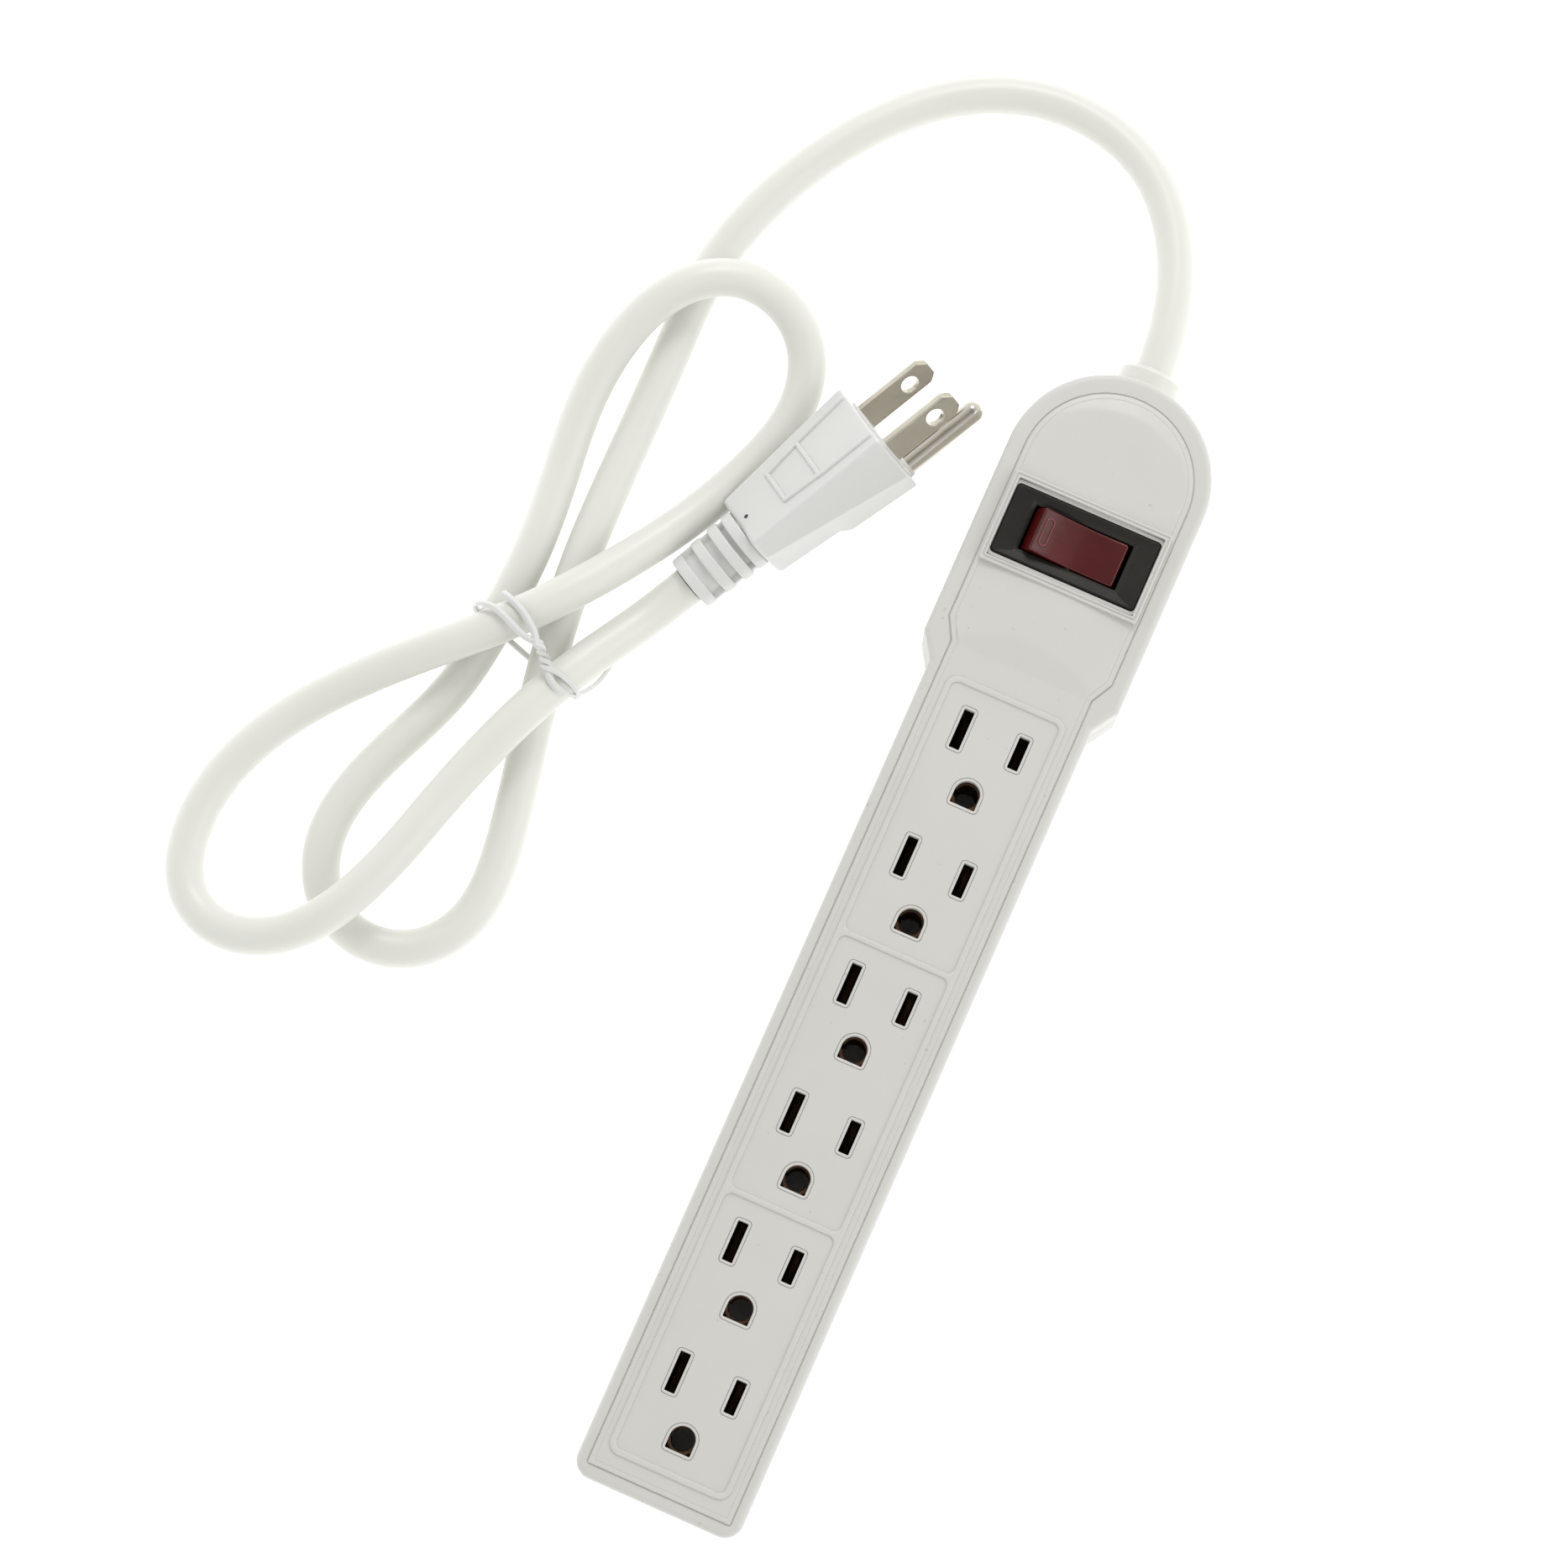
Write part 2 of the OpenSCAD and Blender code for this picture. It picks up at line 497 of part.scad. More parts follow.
module plug_cord_tail() { color([0.9, 0.9, 0.87]) in_plug() ycyl(cord_r, -49.9, -26.02); }

module plug_conductors() {
    color([0.3, 0.3, 0.3]) in_plug() {
        for (s = [-1, 1]) lead([[s*1.8, -25.9, 0.9], [s*1.8, -24.6, 0.9], [s*2.6, -22, 0.9], [s*5.6, -17, 0.3], [s*slot_gap/2, -14, 0], [s*slot_gap/2, -13, 0], [s*slot_gap/2, -12.05, 0]], 1.2, 8);
        lead([[0, -25.9, -1.9], [0, -24.6, -1.9], [0, -22, -3], [0, -18, -8], [0, -14.4, -ground_off + 0.3], [0, -13, -ground_off], [0, -12.05, -ground_off]], 1.2, 8);
    }
}

// ---- nodes ----------------------------------------------------------

top_cover();
base_cover();
housing_screws();
busbar_tray();
neutral_busbar();
hot_busbar();
ground_busbar();
switch_housing();
rocker();
rocker_pin();
rocker_plunger();
plunger_spring();
contact_arm();
line_terminal();
load_terminal();
lamp_terminal();
neon_lamp();
lamp_resistor();
cord_gland();
cord_clamp();
clamp_screws();
cord_tail();
line_lead();
neutral_lead();
ground_lead();
load_jumper();
power_cord();
twist_tie();
plug_overmould();
plug_blade_carrier();
plug_neutral_blade();
plug_hot_blade();
plug_ground_pin();
plug_cord_tail();
plug_conductors();
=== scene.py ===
import math

import bpy
import bmesh
import numpy as np
from mathutils import Matrix, Vector, geometry


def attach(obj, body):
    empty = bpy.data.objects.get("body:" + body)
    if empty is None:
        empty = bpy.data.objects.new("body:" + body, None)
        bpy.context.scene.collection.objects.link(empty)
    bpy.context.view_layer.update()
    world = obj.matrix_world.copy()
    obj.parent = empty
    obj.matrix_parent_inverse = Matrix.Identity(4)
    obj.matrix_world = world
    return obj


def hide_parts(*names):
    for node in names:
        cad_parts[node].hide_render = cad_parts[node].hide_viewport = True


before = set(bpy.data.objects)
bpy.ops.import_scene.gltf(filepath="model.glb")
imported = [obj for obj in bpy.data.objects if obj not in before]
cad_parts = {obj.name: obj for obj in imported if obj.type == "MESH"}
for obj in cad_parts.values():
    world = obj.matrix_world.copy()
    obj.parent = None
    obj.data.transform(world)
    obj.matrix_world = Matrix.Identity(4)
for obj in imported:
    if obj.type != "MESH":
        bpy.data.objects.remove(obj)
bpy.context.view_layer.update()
scene = bpy.context.scene
MM = 0.001

# ---------------------------------------------------------------- numbers, mm
PITCH, GROUND0, GROUND_OFF, GAP = 28.6, -111.2, 11.9, 12.7
SW_Y, PIV_Z, SWING = 87.8, 22.0, 8.0
FACE, WALL_IN = 24.0, 2.0
CORD_R = 4.1
EXIT = (0.0, 126.0, 12.5)
GY = [GROUND0 + PITCH * i for i in range(6)]
SY = [g + GROUND_OFF for g in GY]
SCREWS = [(-11.6, -119), (11.6, -119), (-11.6, -33), (11.6, -33), (-11.6, 50.5), (11.6, 50.5), (-12.8, 113.2), (12.8, 113.2)]
PLUG = (Matrix.Translation(Vector((-47.6, 94.5, 16.15))) @ Matrix.Rotation(math.radians(-28.5), 4, "Z")
        @ Matrix.Rotation(math.radians(10), 4, "X") @ Matrix.Rotation(math.radians(-39), 4, "Y"))
ROCK = Matrix.Translation(Vector((0, SW_Y, PIV_Z))) @ Matrix.Rotation(math.radians(SWING), 4, "Y")

# ---------------------------------------------------------------- camera
cam_data = bpy.data.cameras.new("camera")
cam = bpy.data.objects.new("camera", cam_data)
scene.collection.objects.link(cam)
scene.camera = cam
AZ, EL = math.radians(23.86), math.radians(82.2)
BACK = Vector((math.sin(AZ) * math.cos(EL), -math.cos(AZ) * math.cos(EL), math.sin(EL)))
AIM = Vector((-0.0364, 0.0216, 0.0))
cam.location = AIM + BACK * 1.0
cam.rotation_mode = "QUATERNION"
cam.rotation_quaternion = (-BACK).to_track_quat("-Z", "Y")
cam_data.sensor_width = 36.0
cam_data.lens = 109.5
cam_data.clip_start, cam_data.clip_end = 0.05, 20
cam_data.dof.use_dof = False


# ---------------------------------------------------------------- mesh tools
def inside(points, loop):
    L = np.asarray(loop, float)
    x, y = points[:, 0][:, None], points[:, 1][:, None]
    x0, y0 = L[:, 0], L[:, 1]
    x1, y1 = np.roll(x0, -1), np.roll(y0, -1)
    dy = np.where(np.abs(y1 - y0) < 1e-12, 1e-12, y1 - y0)
    hit = ((y0 > y) != (y1 > y)) & (x < (x1 - x0) * (y - y0) / dy + x0)
    return hit.sum(1) % 2 == 1


class Build:
    """Collects rings and filled regions in millimetres and turns them into one object."""

    def __init__(self):
        self.v, self.f = [], []

    def ring(self, pts):
        i = len(self.v)
        self.v += [tuple(p) for p in pts]
        return list(range(i, i + len(pts)))

    def flat(self, loop, z):
        return self.ring([(x, y, z(x, y) if callable(z) else z) for x, y in loop])

    def bridge(self, a, b, closed=True):
        n = len(a)
        for i in range(n if closed else n - 1):
            j = (i + 1) % n
            self.f.append((a[i], a[j], b[j], b[i]))

    def loft(self, rings):
        ids = [r if isinstance(r[0], int) else self.ring(r) for r in rings]
        for a, b in zip(ids, ids[1:]):
            self.bridge(a, b)
        return ids

    def cap(self, ring):
        self.f.append(tuple(ring))

    def fill(self, loops, z, extra=(), place=None):
        pts, edges = [], []
        for L in loops:
            i, n = len(pts), len(L)
            pts += [Vector((p[0], p[1])) for p in L]
            edges += [(i + k, i + (k + 1) % n) for k in range(n)]
        pts += [Vector((p[0], p[1])) for p in extra]
        out = geometry.delaunay_2d_cdt(pts, edges, [], 0, 1e-6)
        V = [(p.x, p.y) for p in out[0]]
        T = [tuple(t) for t in out[2]]
        C = np.array([[sum(V[k][0] for k in t) / len(t), sum(V[k][1] for k in t) / len(t)] for t in T])
        keep = sum(inside(C, L).astype(int) for L in loops) % 2 == 1
        i = len(self.v)
        for x, y in V:
            h = z(x, y) if callable(z) else z
            self.v.append(place(x, y, h) if place else (x, y, h))
        self.f += [tuple(i + k for k in t) for t, q in zip(T, keep) if q]

    def make(self, name, mat, body="strip", slot=None, place=None, sharp=40, weighted=True, merge=0.0015):
        me = bpy.data.meshes.new(name)
        P = [Vector(p) for p in self.v]
        if place is not None:
            P = [place @ p for p in P]
        me.from_pydata([tuple(p * MM) for p in P], [], self.f)
        bm = bmesh.new()
        bm.from_mesh(me)
        bmesh.ops.remove_doubles(bm, verts=bm.verts, dist=merge * MM)
        loose = [v for v in bm.verts if not v.link_faces]
        bmesh.ops.delete(bm, geom=loose, context="VERTS")
        bmesh.ops.recalc_face_normals(bm, faces=bm.faces)
        bm.to_mesh(me)
        bm.free()
        me.validate()
        for p in me.polygons:
            p.use_smooth = True
        if sharp is not None:
            me.set_sharp_from_angle(angle=math.radians(sharp))
        me.materials.append(mat)
        o = bpy.data.objects.new(name, me)
        scene.collection.objects.link(o)
        if weighted:
            m = o.modifiers.new("normals", "WEIGHTED_NORMAL")
            m.keep_sharp = True
            m.weight = 80
        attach(o, body)
        return o


def arc(cx, cy, r, a0, a1, n):
    return [(cx + r * math.cos(math.radians(a0 + (a1 - a0) * k / n)), cy + r * math.sin(math.radians(a0 + (a1 - a0) * k / n))) for k in range(n + 1)]


def rrect(w, h, r, cx=0.0, cy=0.0, n=6):
    a, b = w / 2 - r, h / 2 - r
    return (arc(cx + a, cy - b, r, -90, 0, n) + arc(cx + a, cy + b, r, 0, 90, n)
            + arc(cx - a, cy + b, r, 90, 180, n) + arc(cx - a, cy - b, r, 180, 270, n))


def fillet(p0, p1, p2, r, n=4):
    p0, p1, p2 = Vector(p0), Vector(p1), Vector(p2)
    u, w = (p0 - p1).normalized(), (p2 - p1).normalized()
    th = u.angle(w)
    a, b = p1 + u * (r / math.tan(th / 2)), p1 + w * (r / math.tan(th / 2))
    c = p1 + (u + w).normalized() * (r / math.sin(th / 2))
    a0, a1 = math.atan2(a.y - c.y, a.x - c.x), math.atan2(b.y - c.y, b.x - c.x)
    d = (a1 - a0 + math.pi) % (2 * math.pi) - math.pi
    return [(c.x + r * math.cos(a0 + d * k / n), c.y + r * math.sin(a0 + d * k / n)) for k in range(n + 1)]


def soften(poly, radii, n=5):
    m, out = len(poly), []
    for i in range(m):
        out += fillet(poly[i - 1], poly[i], poly[(i + 1) % m], radii[i], n)
    return out


def inset(poly, d):
    """Convex counter-clockwise polygon pulled in by d."""
    m, out = len(poly), []
    for i in range(m):
        p0, p1, p2 = Vector(poly[i - 1]), Vector(poly[i]), Vector(poly[(i + 1) % m])
        e1, e2 = (p1 - p0).normalized(), (p2 - p1).normalized()
        n1, n2 = Vector((-e1.y, e1.x)), Vector((-e2.y, e2.x))
        k = (n1 + n2) / (1 + n1.dot(n2))
        out.append((p1.x + k.x * d, p1.y + k.y * d))
    return out


def strip_loop(bw, hw, tail, ya, yb, cy, rt, yx):
    right = arc(bw - rt, tail + rt, rt, -90, 0, 8) + [(bw, yx)]
    right += fillet((bw, yx), (bw, ya), (hw, yb), 0.5, 3)
    right += fillet((bw, ya), (hw, yb), (hw, cy), 0.7, 4)
    right += arc(0, cy, hw, 0, 90, 40)
    return right + [(-x, y) for x, y in reversed(right[:-1])]


def outer(i):
    return strip_loop(18.2 - i, 21.8 - i, -126 + i, 54.4 + 0.294 * i, 60 + 0.294 * i, 104.2, max(4.0 - i, 0.4), 40.0)


def field(o):
    return strip_loop(15.55 + o, 18.05 + o, -122.9 - o, 59.85 - 0.28 * o, 64.5 - 0.28 * o, 103.45, 0.3 + max(o, 0), 59.3)


def lathe(profile, n=64, cap0=False, cap1=False):
    """Profile of (radius, y) turned round the Y axis."""
    b = Build()
    ids = []
    for r, y in profile:
        ids.append(b.ring([(r * math.cos(2 * math.pi * k / n), y, r * math.sin(2 * math.pi * k / n)) for k in range(n)]))
    for a, c in zip(ids, ids[1:]):
        b.bridge(a, c)
    if cap0:
        b.cap(ids[0])
    if cap1:
        b.cap(ids[-1])
    return b


def round_profile(pts, r, n=4):
    """Profile points with every inner corner rounded by up to r."""
    out = [pts[0]]
    for i in range(1, len(pts) - 1):
        p0, p1, p2 = Vector(pts[i - 1]), Vector(pts[i]), Vector(pts[i + 1])
        th = (p0 - p1).angle(p2 - p1)
        if abs(th - math.pi) < 0.05:
            out.append(pts[i])
            continue
        lim = 0.48 * min((p0 - p1).length, (p2 - p1).length) * math.tan(th / 2)
        out += fillet(pts[i - 1], pts[i], pts[i + 1], min(r, lim), n)
    return out + [pts[-1]]


def bspline(P, per=18):
    P = [Vector(p) for p in P]
    Q = [2 * P[0] - P[1]] + P + [2 * P[-1] - P[-2]]
    out = []
    for i in range(len(P) - 1):
        for k in range(per):
            t = k / per
            out.append(((1 - t) ** 3 * Q[i] + (3 * t**3 - 6 * t * t + 4) * Q[i + 1] + (-3 * t**3 + 3 * t * t + 3 * t + 1) * Q[i + 2] + t**3 * Q[i + 3]) / 6)
    out.append((Q[-3] + 4 * Q[-2] + Q[-1]) / 6)
    return out


def tube(path, radius, sides=32, closed=False, lobes=None):
    """Mesh tube with a twist-free frame; radius is a number or a function of (distance, angle)."""
    b = Build()
    n = len(path)
    T = []
    for i in range(n):
        a = path[i - 1] if (i > 0 or closed) else path[0]
        c = path[(i + 1) % n] if (i < n - 1 or closed) else path[-1]
        T.append((c - a).normalized())
    up = Vector((0, 0, 1))
    if abs(T[0].z) > 0.9:
        up = Vector((1, 0, 0))
    u = T[0].cross(up).normalized()
    s, ids = 0.0, []
    for i in range(n):
        if i:
            s += (path[i] - path[i - 1]).length
            u = (u - T[i] * u.dot(T[i])).normalized()
        w = T[i].cross(u)
        ring = []
        for k in range(sides):
            a = 2 * math.pi * k / sides
            r = radius(s, a) if callable(radius) else radius
            ring.append(path[i] + (u * math.cos(a) + w * math.sin(a)) * r)
        ids.append(b.ring(ring))
    for a, c in zip(ids, ids[1:]):
        b.bridge(a, c)
    if closed:
        b.bridge(ids[-1], ids[0])
    return b, ids


# ---------------------------------------------------------------- materials
def tree(name):
    m = bpy.data.materials.new(name)
    m.use_nodes = True
    t = m.node_tree
    t.nodes.clear()
    out = t.nodes.new("ShaderNodeOutputMaterial")
    s = t.nodes.new("ShaderNodeBsdfPrincipled")
    t.links.new(s.outputs[0], out.inputs[0])
    return m, t, s


def noise(t, scale, detail=4.0, rough=0.55, stretch=None):
    co = t.nodes.new("ShaderNodeTexCoord")
    n = t.nodes.new("ShaderNodeTexNoise")
    n.inputs["Scale"].default_value = scale
    n.inputs["Detail"].default_value = detail
    n.inputs["Roughness"].default_value = rough
    if stretch:
        mp = t.nodes.new("ShaderNodeMapping")
        mp.inputs["Scale"].default_value = stretch
        t.links.new(co.outputs["Object"], mp.inputs[0])
        t.links.new(mp.outputs[0], n.inputs["Vector"])
    else:
        t.links.new(co.outputs["Object"], n.inputs["Vector"])
    return n


def ramp(t, source, stops):
    r = t.nodes.new("ShaderNodeValToRGB")
    e = r.color_ramp.elements
    while len(e) < len(stops):
        e.new(0.5)
    for k, (p, c) in zip(e, stops):
        k.position = p
        k.color = (*c, 1) if len(c) == 3 else c
    t.links.new(source, r.inputs[0])
    return r


def spread(t, source, lo, hi):
    r = t.nodes.new("ShaderNodeMapRange")
    r.inputs["To Min"].default_value = lo
    r.inputs["To Max"].default_value = hi
    r.inputs["From Min"].default_value = 0.3
    r.inputs["From Max"].default_value = 0.7
    t.links.new(source, r.inputs[0])
    return r.outputs[0]


def bump(t, shader, height, distance, strength=1.0, before=None):
    b = t.nodes.new("ShaderNodeBump")
    b.inputs["Distance"].default_value = distance
    b.inputs["Strength"].default_value = strength
    t.links.new(height, b.inputs["Height"])
    if before is not None:
        t.links.new(before.outputs[0], b.inputs["Normal"])
    t.links.new(b.outputs[0], shader.inputs["Normal"])
    return b


def plastic(name, colour, rough=0.42, vary=0.02, grain=900.0, grain_d=0.000012, coat=0.0, ior=1.46, mottle=60.0, dust=None, sss=0.0):
    m, t, s = tree(name)
    c = np.array(colour)
    big = noise(t, mottle, 5)
    lo, hi = tuple(c * (1 - vary)), tuple(np.minimum(c * (1 + vary), 1))
    r = ramp(t, big.outputs["Fac"], [(0.35, lo), (0.65, hi)])
    last = r.outputs[0]
    if dust is not None:
        specks = noise(t, 700.0, 2, 0.4)
        mask = ramp(t, specks.outputs["Fac"], [(0.74, (0, 0, 0)), (0.78, (1, 1, 1))])
        mix = t.nodes.new("ShaderNodeMix")
        mix.data_type = "RGBA"
        t.links.new(mask.outputs[0], mix.inputs["Factor"])
        t.links.new(last, mix.inputs["A"])
        mix.inputs["B"].default_value = (*dust, 1)
        last = mix.outputs["Result"]
    t.links.new(last, s.inputs["Base Color"])
    mid = noise(t, 220.0, 6)
    t.links.new(spread(t, mid.outputs["Fac"], rough - 0.05, rough + 0.06), s.inputs["Roughness"])
    fine = noise(t, grain, 3)
    b = bump(t, s, fine.outputs["Fac"], grain_d, 0.6)
    flow = noise(t, 45.0, 2)
    bump(t, s, flow.outputs["Fac"], 0.00006, 0.25, before=b)
    s.inputs["IOR"].default_value = ior
    if coat:
        s.inputs["Coat Weight"].default_value = coat
        s.inputs["Coat Roughness"].default_value = 0.12
    if sss:
        s.inputs["Subsurface Weight"].default_value = sss
        s.inputs["Subsurface Radius"].default_value = (0.003, 0.0028, 0.0022)
    return m


def metal(name, colour, rough=0.25, streak=(1, 1, 1), vary=0.06, stain_and_shade=None):
    m, t, s = tree(name)
    c = np.array(colour)
    n = noise(t, 140.0, 6, 0.6, streak)
    stops = [(0.3, tuple(c * (1 - vary))), (0.7, tuple(np.minimum(c * (1 + vary), 1)))]
    # stain_and_shade: a darker colour at the low end of the noise; real tarnish on the brass and nickel, painted shade
    # on the busbar brass
    if stain_and_shade is not None:
        stops = [(0.22, stain_and_shade)] + stops
    r = ramp(t, n.outputs["Fac"], stops)
    t.links.new(r.outputs[0], s.inputs["Base Color"])
    s.inputs["Metallic"].default_value = 1.0
    k = noise(t, 420.0, 5, 0.6, streak)
    t.links.new(spread(t, k.outputs["Fac"], rough - 0.06, rough + 0.1), s.inputs["Roughness"])
    bump(t, s, k.outputs["Fac"], 0.000008, 0.5)
    return m


WHITE = (0.59, 0.583, 0.552)
housing = plastic("housing_plastic", WHITE, 0.44, 0.012, 1500.0, 0.000012, mottle=38.0, dust=(0.50, 0.49, 0.45))
pvc = plastic("cord_pvc", (0.715, 0.715, 0.665), 0.36, 0.015, 700.0, 0.00001, mottle=26.0, sss=0.06)
pvc_plug = plastic("plug_pvc", (0.665, 0.665, 0.645), 0.34, 0.012, 800.0, 0.00001, mottle=50.0, sss=0.05)
carrier_m = plastic("carrier_plastic", (0.68, 0.68, 0.655), 0.3, 0.012, 900.0, 0.000008)
bezel_m = plastic("switch_black", (0.017, 0.0155, 0.0125), 0.36, 0.12, 1100.0, 0.000014, mottle=120.0, dust=(0.05, 0.047, 0.04))
bezel_m.node_tree.nodes["Principled BSDF"].inputs["Specular IOR Level"].default_value = 0.3
tie_m = plastic("tie_white", (0.67, 0.67, 0.655), 0.24, 0.01, 500.0, 0.00001)
nylon = plastic("plunger_nylon", (0.7, 0.69, 0.62), 0.35)
fibre = plastic("clamp_fibre", (0.16, 0.15, 0.14), 0.6, 0.15, 500.0, 0.00002)
ceramic = plastic("resistor_ceramic", (0.5, 0.38, 0.22), 0.5, 0.08)
wire_k = plastic("wire_black", (0.02, 0.02, 0.02), 0.4, 0.1)
wire_w = plastic("wire_white", (0.72, 0.72, 0.68), 0.4)
wire_g = plastic("wire_green", (0.03, 0.18, 0.05), 0.4, 0.08)
brass_m = metal("brass", (0.44, 0.30, 0.14), 0.34, (1, 0.15, 1), 0.12, stain_and_shade=(0.16, 0.085, 0.04))
nickel_m = metal("nickel", (0.54, 0.505, 0.43), 0.17, (0.12, 1, 1), 0.08, stain_and_shade=(0.36, 0.32, 0.25))
pin_m = metal("nickel_pin", (0.60, 0.565, 0.50), 0.12, (0.2, 1, 1), 0.06)
steel_m = metal("screw_steel", (0.5, 0.5, 0.52), 0.35, (1, 1, 1), 0.08)
spring_m = metal("spring_steel", (0.55, 0.56, 0.58), 0.3)
gate_m = plastic("gate_dark", (0.05, 0.048, 0.044), 0.6, 0.2)


def red_plastic():
    m, t, s = tree("rocker_red")
    n = noise(t, 90.0, 4)
    r = ramp(t, n.outputs["Fac"], [(0.3, (0.062, 0.0035, 0.004)), (0.7, (0.10, 0.006, 0.007))])
    t.links.new(r.outputs[0], s.inputs["Base Color"])
    k = noise(t, 380.0, 4)
    t.links.new(spread(t, k.outputs["Fac"], 0.1, 0.22), s.inputs["Roughness"])
    bump(t, s, k.outputs["Fac"], 0.000018, 0.5)
    s.inputs["IOR"].default_value = 1.5
    s.inputs["Transmission Weight"].default_value = 0.1
    return m


def glass_m():
    m, t, s = tree("lamp_glass")
    n = noise(t, 300.0, 2)
    r = ramp(t, n.outputs["Fac"], [(0.3, (0.9, 0.75, 0.6)), (0.7, (0.97, 0.86, 0.74))])
    t.links.new(r.outputs[0], s.inputs["Base Color"])
    s.inputs["Roughness"].default_value = 0.08
    s.inputs["Transmission Weight"].default_value = 0.8
    return m


# busbar brass pulled far below brass's own colour, its blotches darker still: painted shade for the dim hollows seen
# through the slots and ground holes
busbar_brass_painted_shade = metal("busbar_brass_painted_shade", (0.21, 0.12, 0.065), 0.5, (1, 0.15, 1), 0.2, stain_and_shade=(0.05, 0.03, 0.02))
red = red_plastic()
lamp_m = glass_m()

# ---------------------------------------------------------------- cord
ROUTE = [
    (0, 126, 12.5), (0, 138, 12.3), (-4, 156, 10), (-17, 174, 6.5), (-38, 180.1, 4.6), (-58, 175, 4.2), (-75, 161, 4.2), (-89, 139, 4.2),
    (-96, 116, 4.2), (-95, 96, 4.2), (-95, 77, 4.2), (-95, 58, 4.6), (-94, 40, 6), (-91, 19, 5.8), (-86, -4, 4.2), (-82, -26, 4.2),
    (-88, -40, 4.2), (-101, -46, 4.2), (-115, -41, 4.2), (-121, -26, 4.2), (-116, -8, 4.2), (-107, 10, 4.3), (-105, 28, 5.9), (-104, 46, 5.8),
    (-106, 64, 4.6), (-108, 84, 8), (-102, 106, 13.5), (-87, 117, 13.2), (-70, 112, 8), (-64, 96, 4.2), (-70.3, 77.6, 4.2), (-78.8, 60.6, 5.8),
    (-89, 43, 14.2), (-101, 28, 15), (-118, 13, 12), (-134, -3, 5.5), (-144, -20, 4.2), (-146.5, -37, 4.2), (-142, -51, 4.4), (-129, -56, 8),
    (-115, -50, 14), (-107, -37, 14.6), (-102, -22, 13), (-98, -6, 12.6), (-88, 20, 16), (-77.3, 39.7, 5.15), (-71.2, 51.05, 7.43)]
path = bspline(ROUTE, 16)


def jacket(s, a):
    # the three cores inside show as a very faint slow twist under the jacket
    return CORD_R - 0.035 + 0.03 * math.cos(3 * a - 2 * math.pi * s / 62.0)


tb, ids = tube(path, jacket, 32)
tb.cap(ids[0])
tb.cap(ids[-1])
cord = tb.make("cord_jacket", pvc, "strip", "cord_pvc", sharp=50, weighted=False)
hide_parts("power_cord")

# ---------------------------------------------------------------- top shell
HX, HC, RAMP_Y = 17.95, 103.45, 59.3


def smin(a, b, k):
    h = max(0.0, min(1.0, 0.5 + 0.5 * (b - a) / k))
    return b + (a - b) * h - k * h * (1 - h)


def crown(x, y):
    if y <= RAMP_Y + 1e-6:
        return 0.0
    top = 0.95 * max(0.0, 1 - (x / HX) ** 2)
    lower = (y - RAMP_Y) * 0.155
    d = HX - (math.hypot(x, y - HC) if y > HC else abs(x))
    tip = max(0.0, d) * 0.25
    return max(0.0, smin(smin(top, lower, 0.05), tip, 0.06))


def head_z(x, y):
    return FACE + crown(x, y)


def slot_loop(cx, cy, w, l, o):
    return rrect(w + 2 * o, l + 2 * o, 0.18 + o, cx, cy, 3)


def u_loop(cy, o):
    r, q = 2.72 + o, 0.22 + o
    return (arc(r - q, cy - r + q, q, -90, 0, 3) + arc(0, cy, r, 0, 180, 28) + arc(-r + q, cy - r + q, q, 180, 270, 3))


HOLES = []
for i in range(6):
    HOLES.append((i, lambda o, i=i: slot_loop(-GAP / 2, SY[i], 2.25, 8.55, o)))
    HOLES.append((i, lambda o, i=i: slot_loop(GAP / 2, SY[i], 2.25, 7.0, o)))
    HOLES.append((i, lambda o, i=i: u_loop(GY[i], o)))
LIP = [(0.72, 24.0), (0.69, 23.76), (0.58, 23.76), (0.54, 24.01), (0.46, 24.05), (0.14, 24.0), (0.03, 23.92), (0.0, 23.8), (0.0, 21.8)]

BEAD_Y = GROUND0 + 2.5 * PITCH + 6.9
bead_out = lambda o: rrect(26.5 + 2 * o, 6 * PITCH + 1.4 + 2 * o, 2.6 + o, 0, BEAD_Y, 8)
PANELS = [GY[i] + PITCH - 7.4 for i in (0, 2, 4)]
bead_in = lambda cy, o: rrect(24.1 + 2 * o, 2 * PITCH - 1.2 + 2 * o, 1.6 + o, 0, cy, 8)

b = Build()
rings = [b.flat(outer(2.0), 12.65), b.flat(outer(0.3), 12.65), b.flat(outer(0.0), 12.95)]
for k in range(9):
    a = math.radians(90 * k / 8)
    rings.append(b.flat(outer(1.5 * (1 - math.cos(a))), 22.2 + 1.5 * math.sin(a)))
for o, z in [(0.40, 23.74), (0.34, 23.70), (0.28, 23.5), (0.10, 23.5)]:
    rings.append(b.flat(field(o), z))
rings.append(b.flat(field(0.02), lambda x, y: 23.86 + crown(x, y)))
rings.append(b.flat(field(-0.1), head_z))
rings.append(b.flat(field(-0.95), head_z))
rings.append(b.flat(field(-1.03), lambda x, y: head_z(x, y) - 0.08))
rings.append(b.flat(field(-1.12), head_z))
b.loft(rings)
edge = field(-1.12)
low_part = [p for p in edge if p[1] <= RAMP_Y + 1e-6]
high_part = [p for p in edge if p[1] >= RAMP_Y - 1e-6]
# both parts share the crease, kept as a row of points so that it stays crisp
crease = [(-14.43 + 28.86 * k / 60, RAMP_Y) for k in range(61)]
n_edge = len(edge)
right_i = min(range(n_edge), key=lambda k: (edge[k][0] - 14.43) ** 2 + (edge[k][1] - RAMP_Y) ** 2)
left_i = min(range(n_edge), key=lambda k: (edge[k][0] + 14.43) ** 2 + (edge[k][1] - RAMP_Y) ** 2)
head_loop = [edge[k] for k in range(right_i, left_i + 1)] + crease[1:-1]
body_loop = [edge[(left_i + k) % n_edge] for k in range((right_i - left_i) % n_edge + 1)] + list(reversed(crease[1:-1]))
b.fill([body_loop, bead_out(0.0)], FACE)
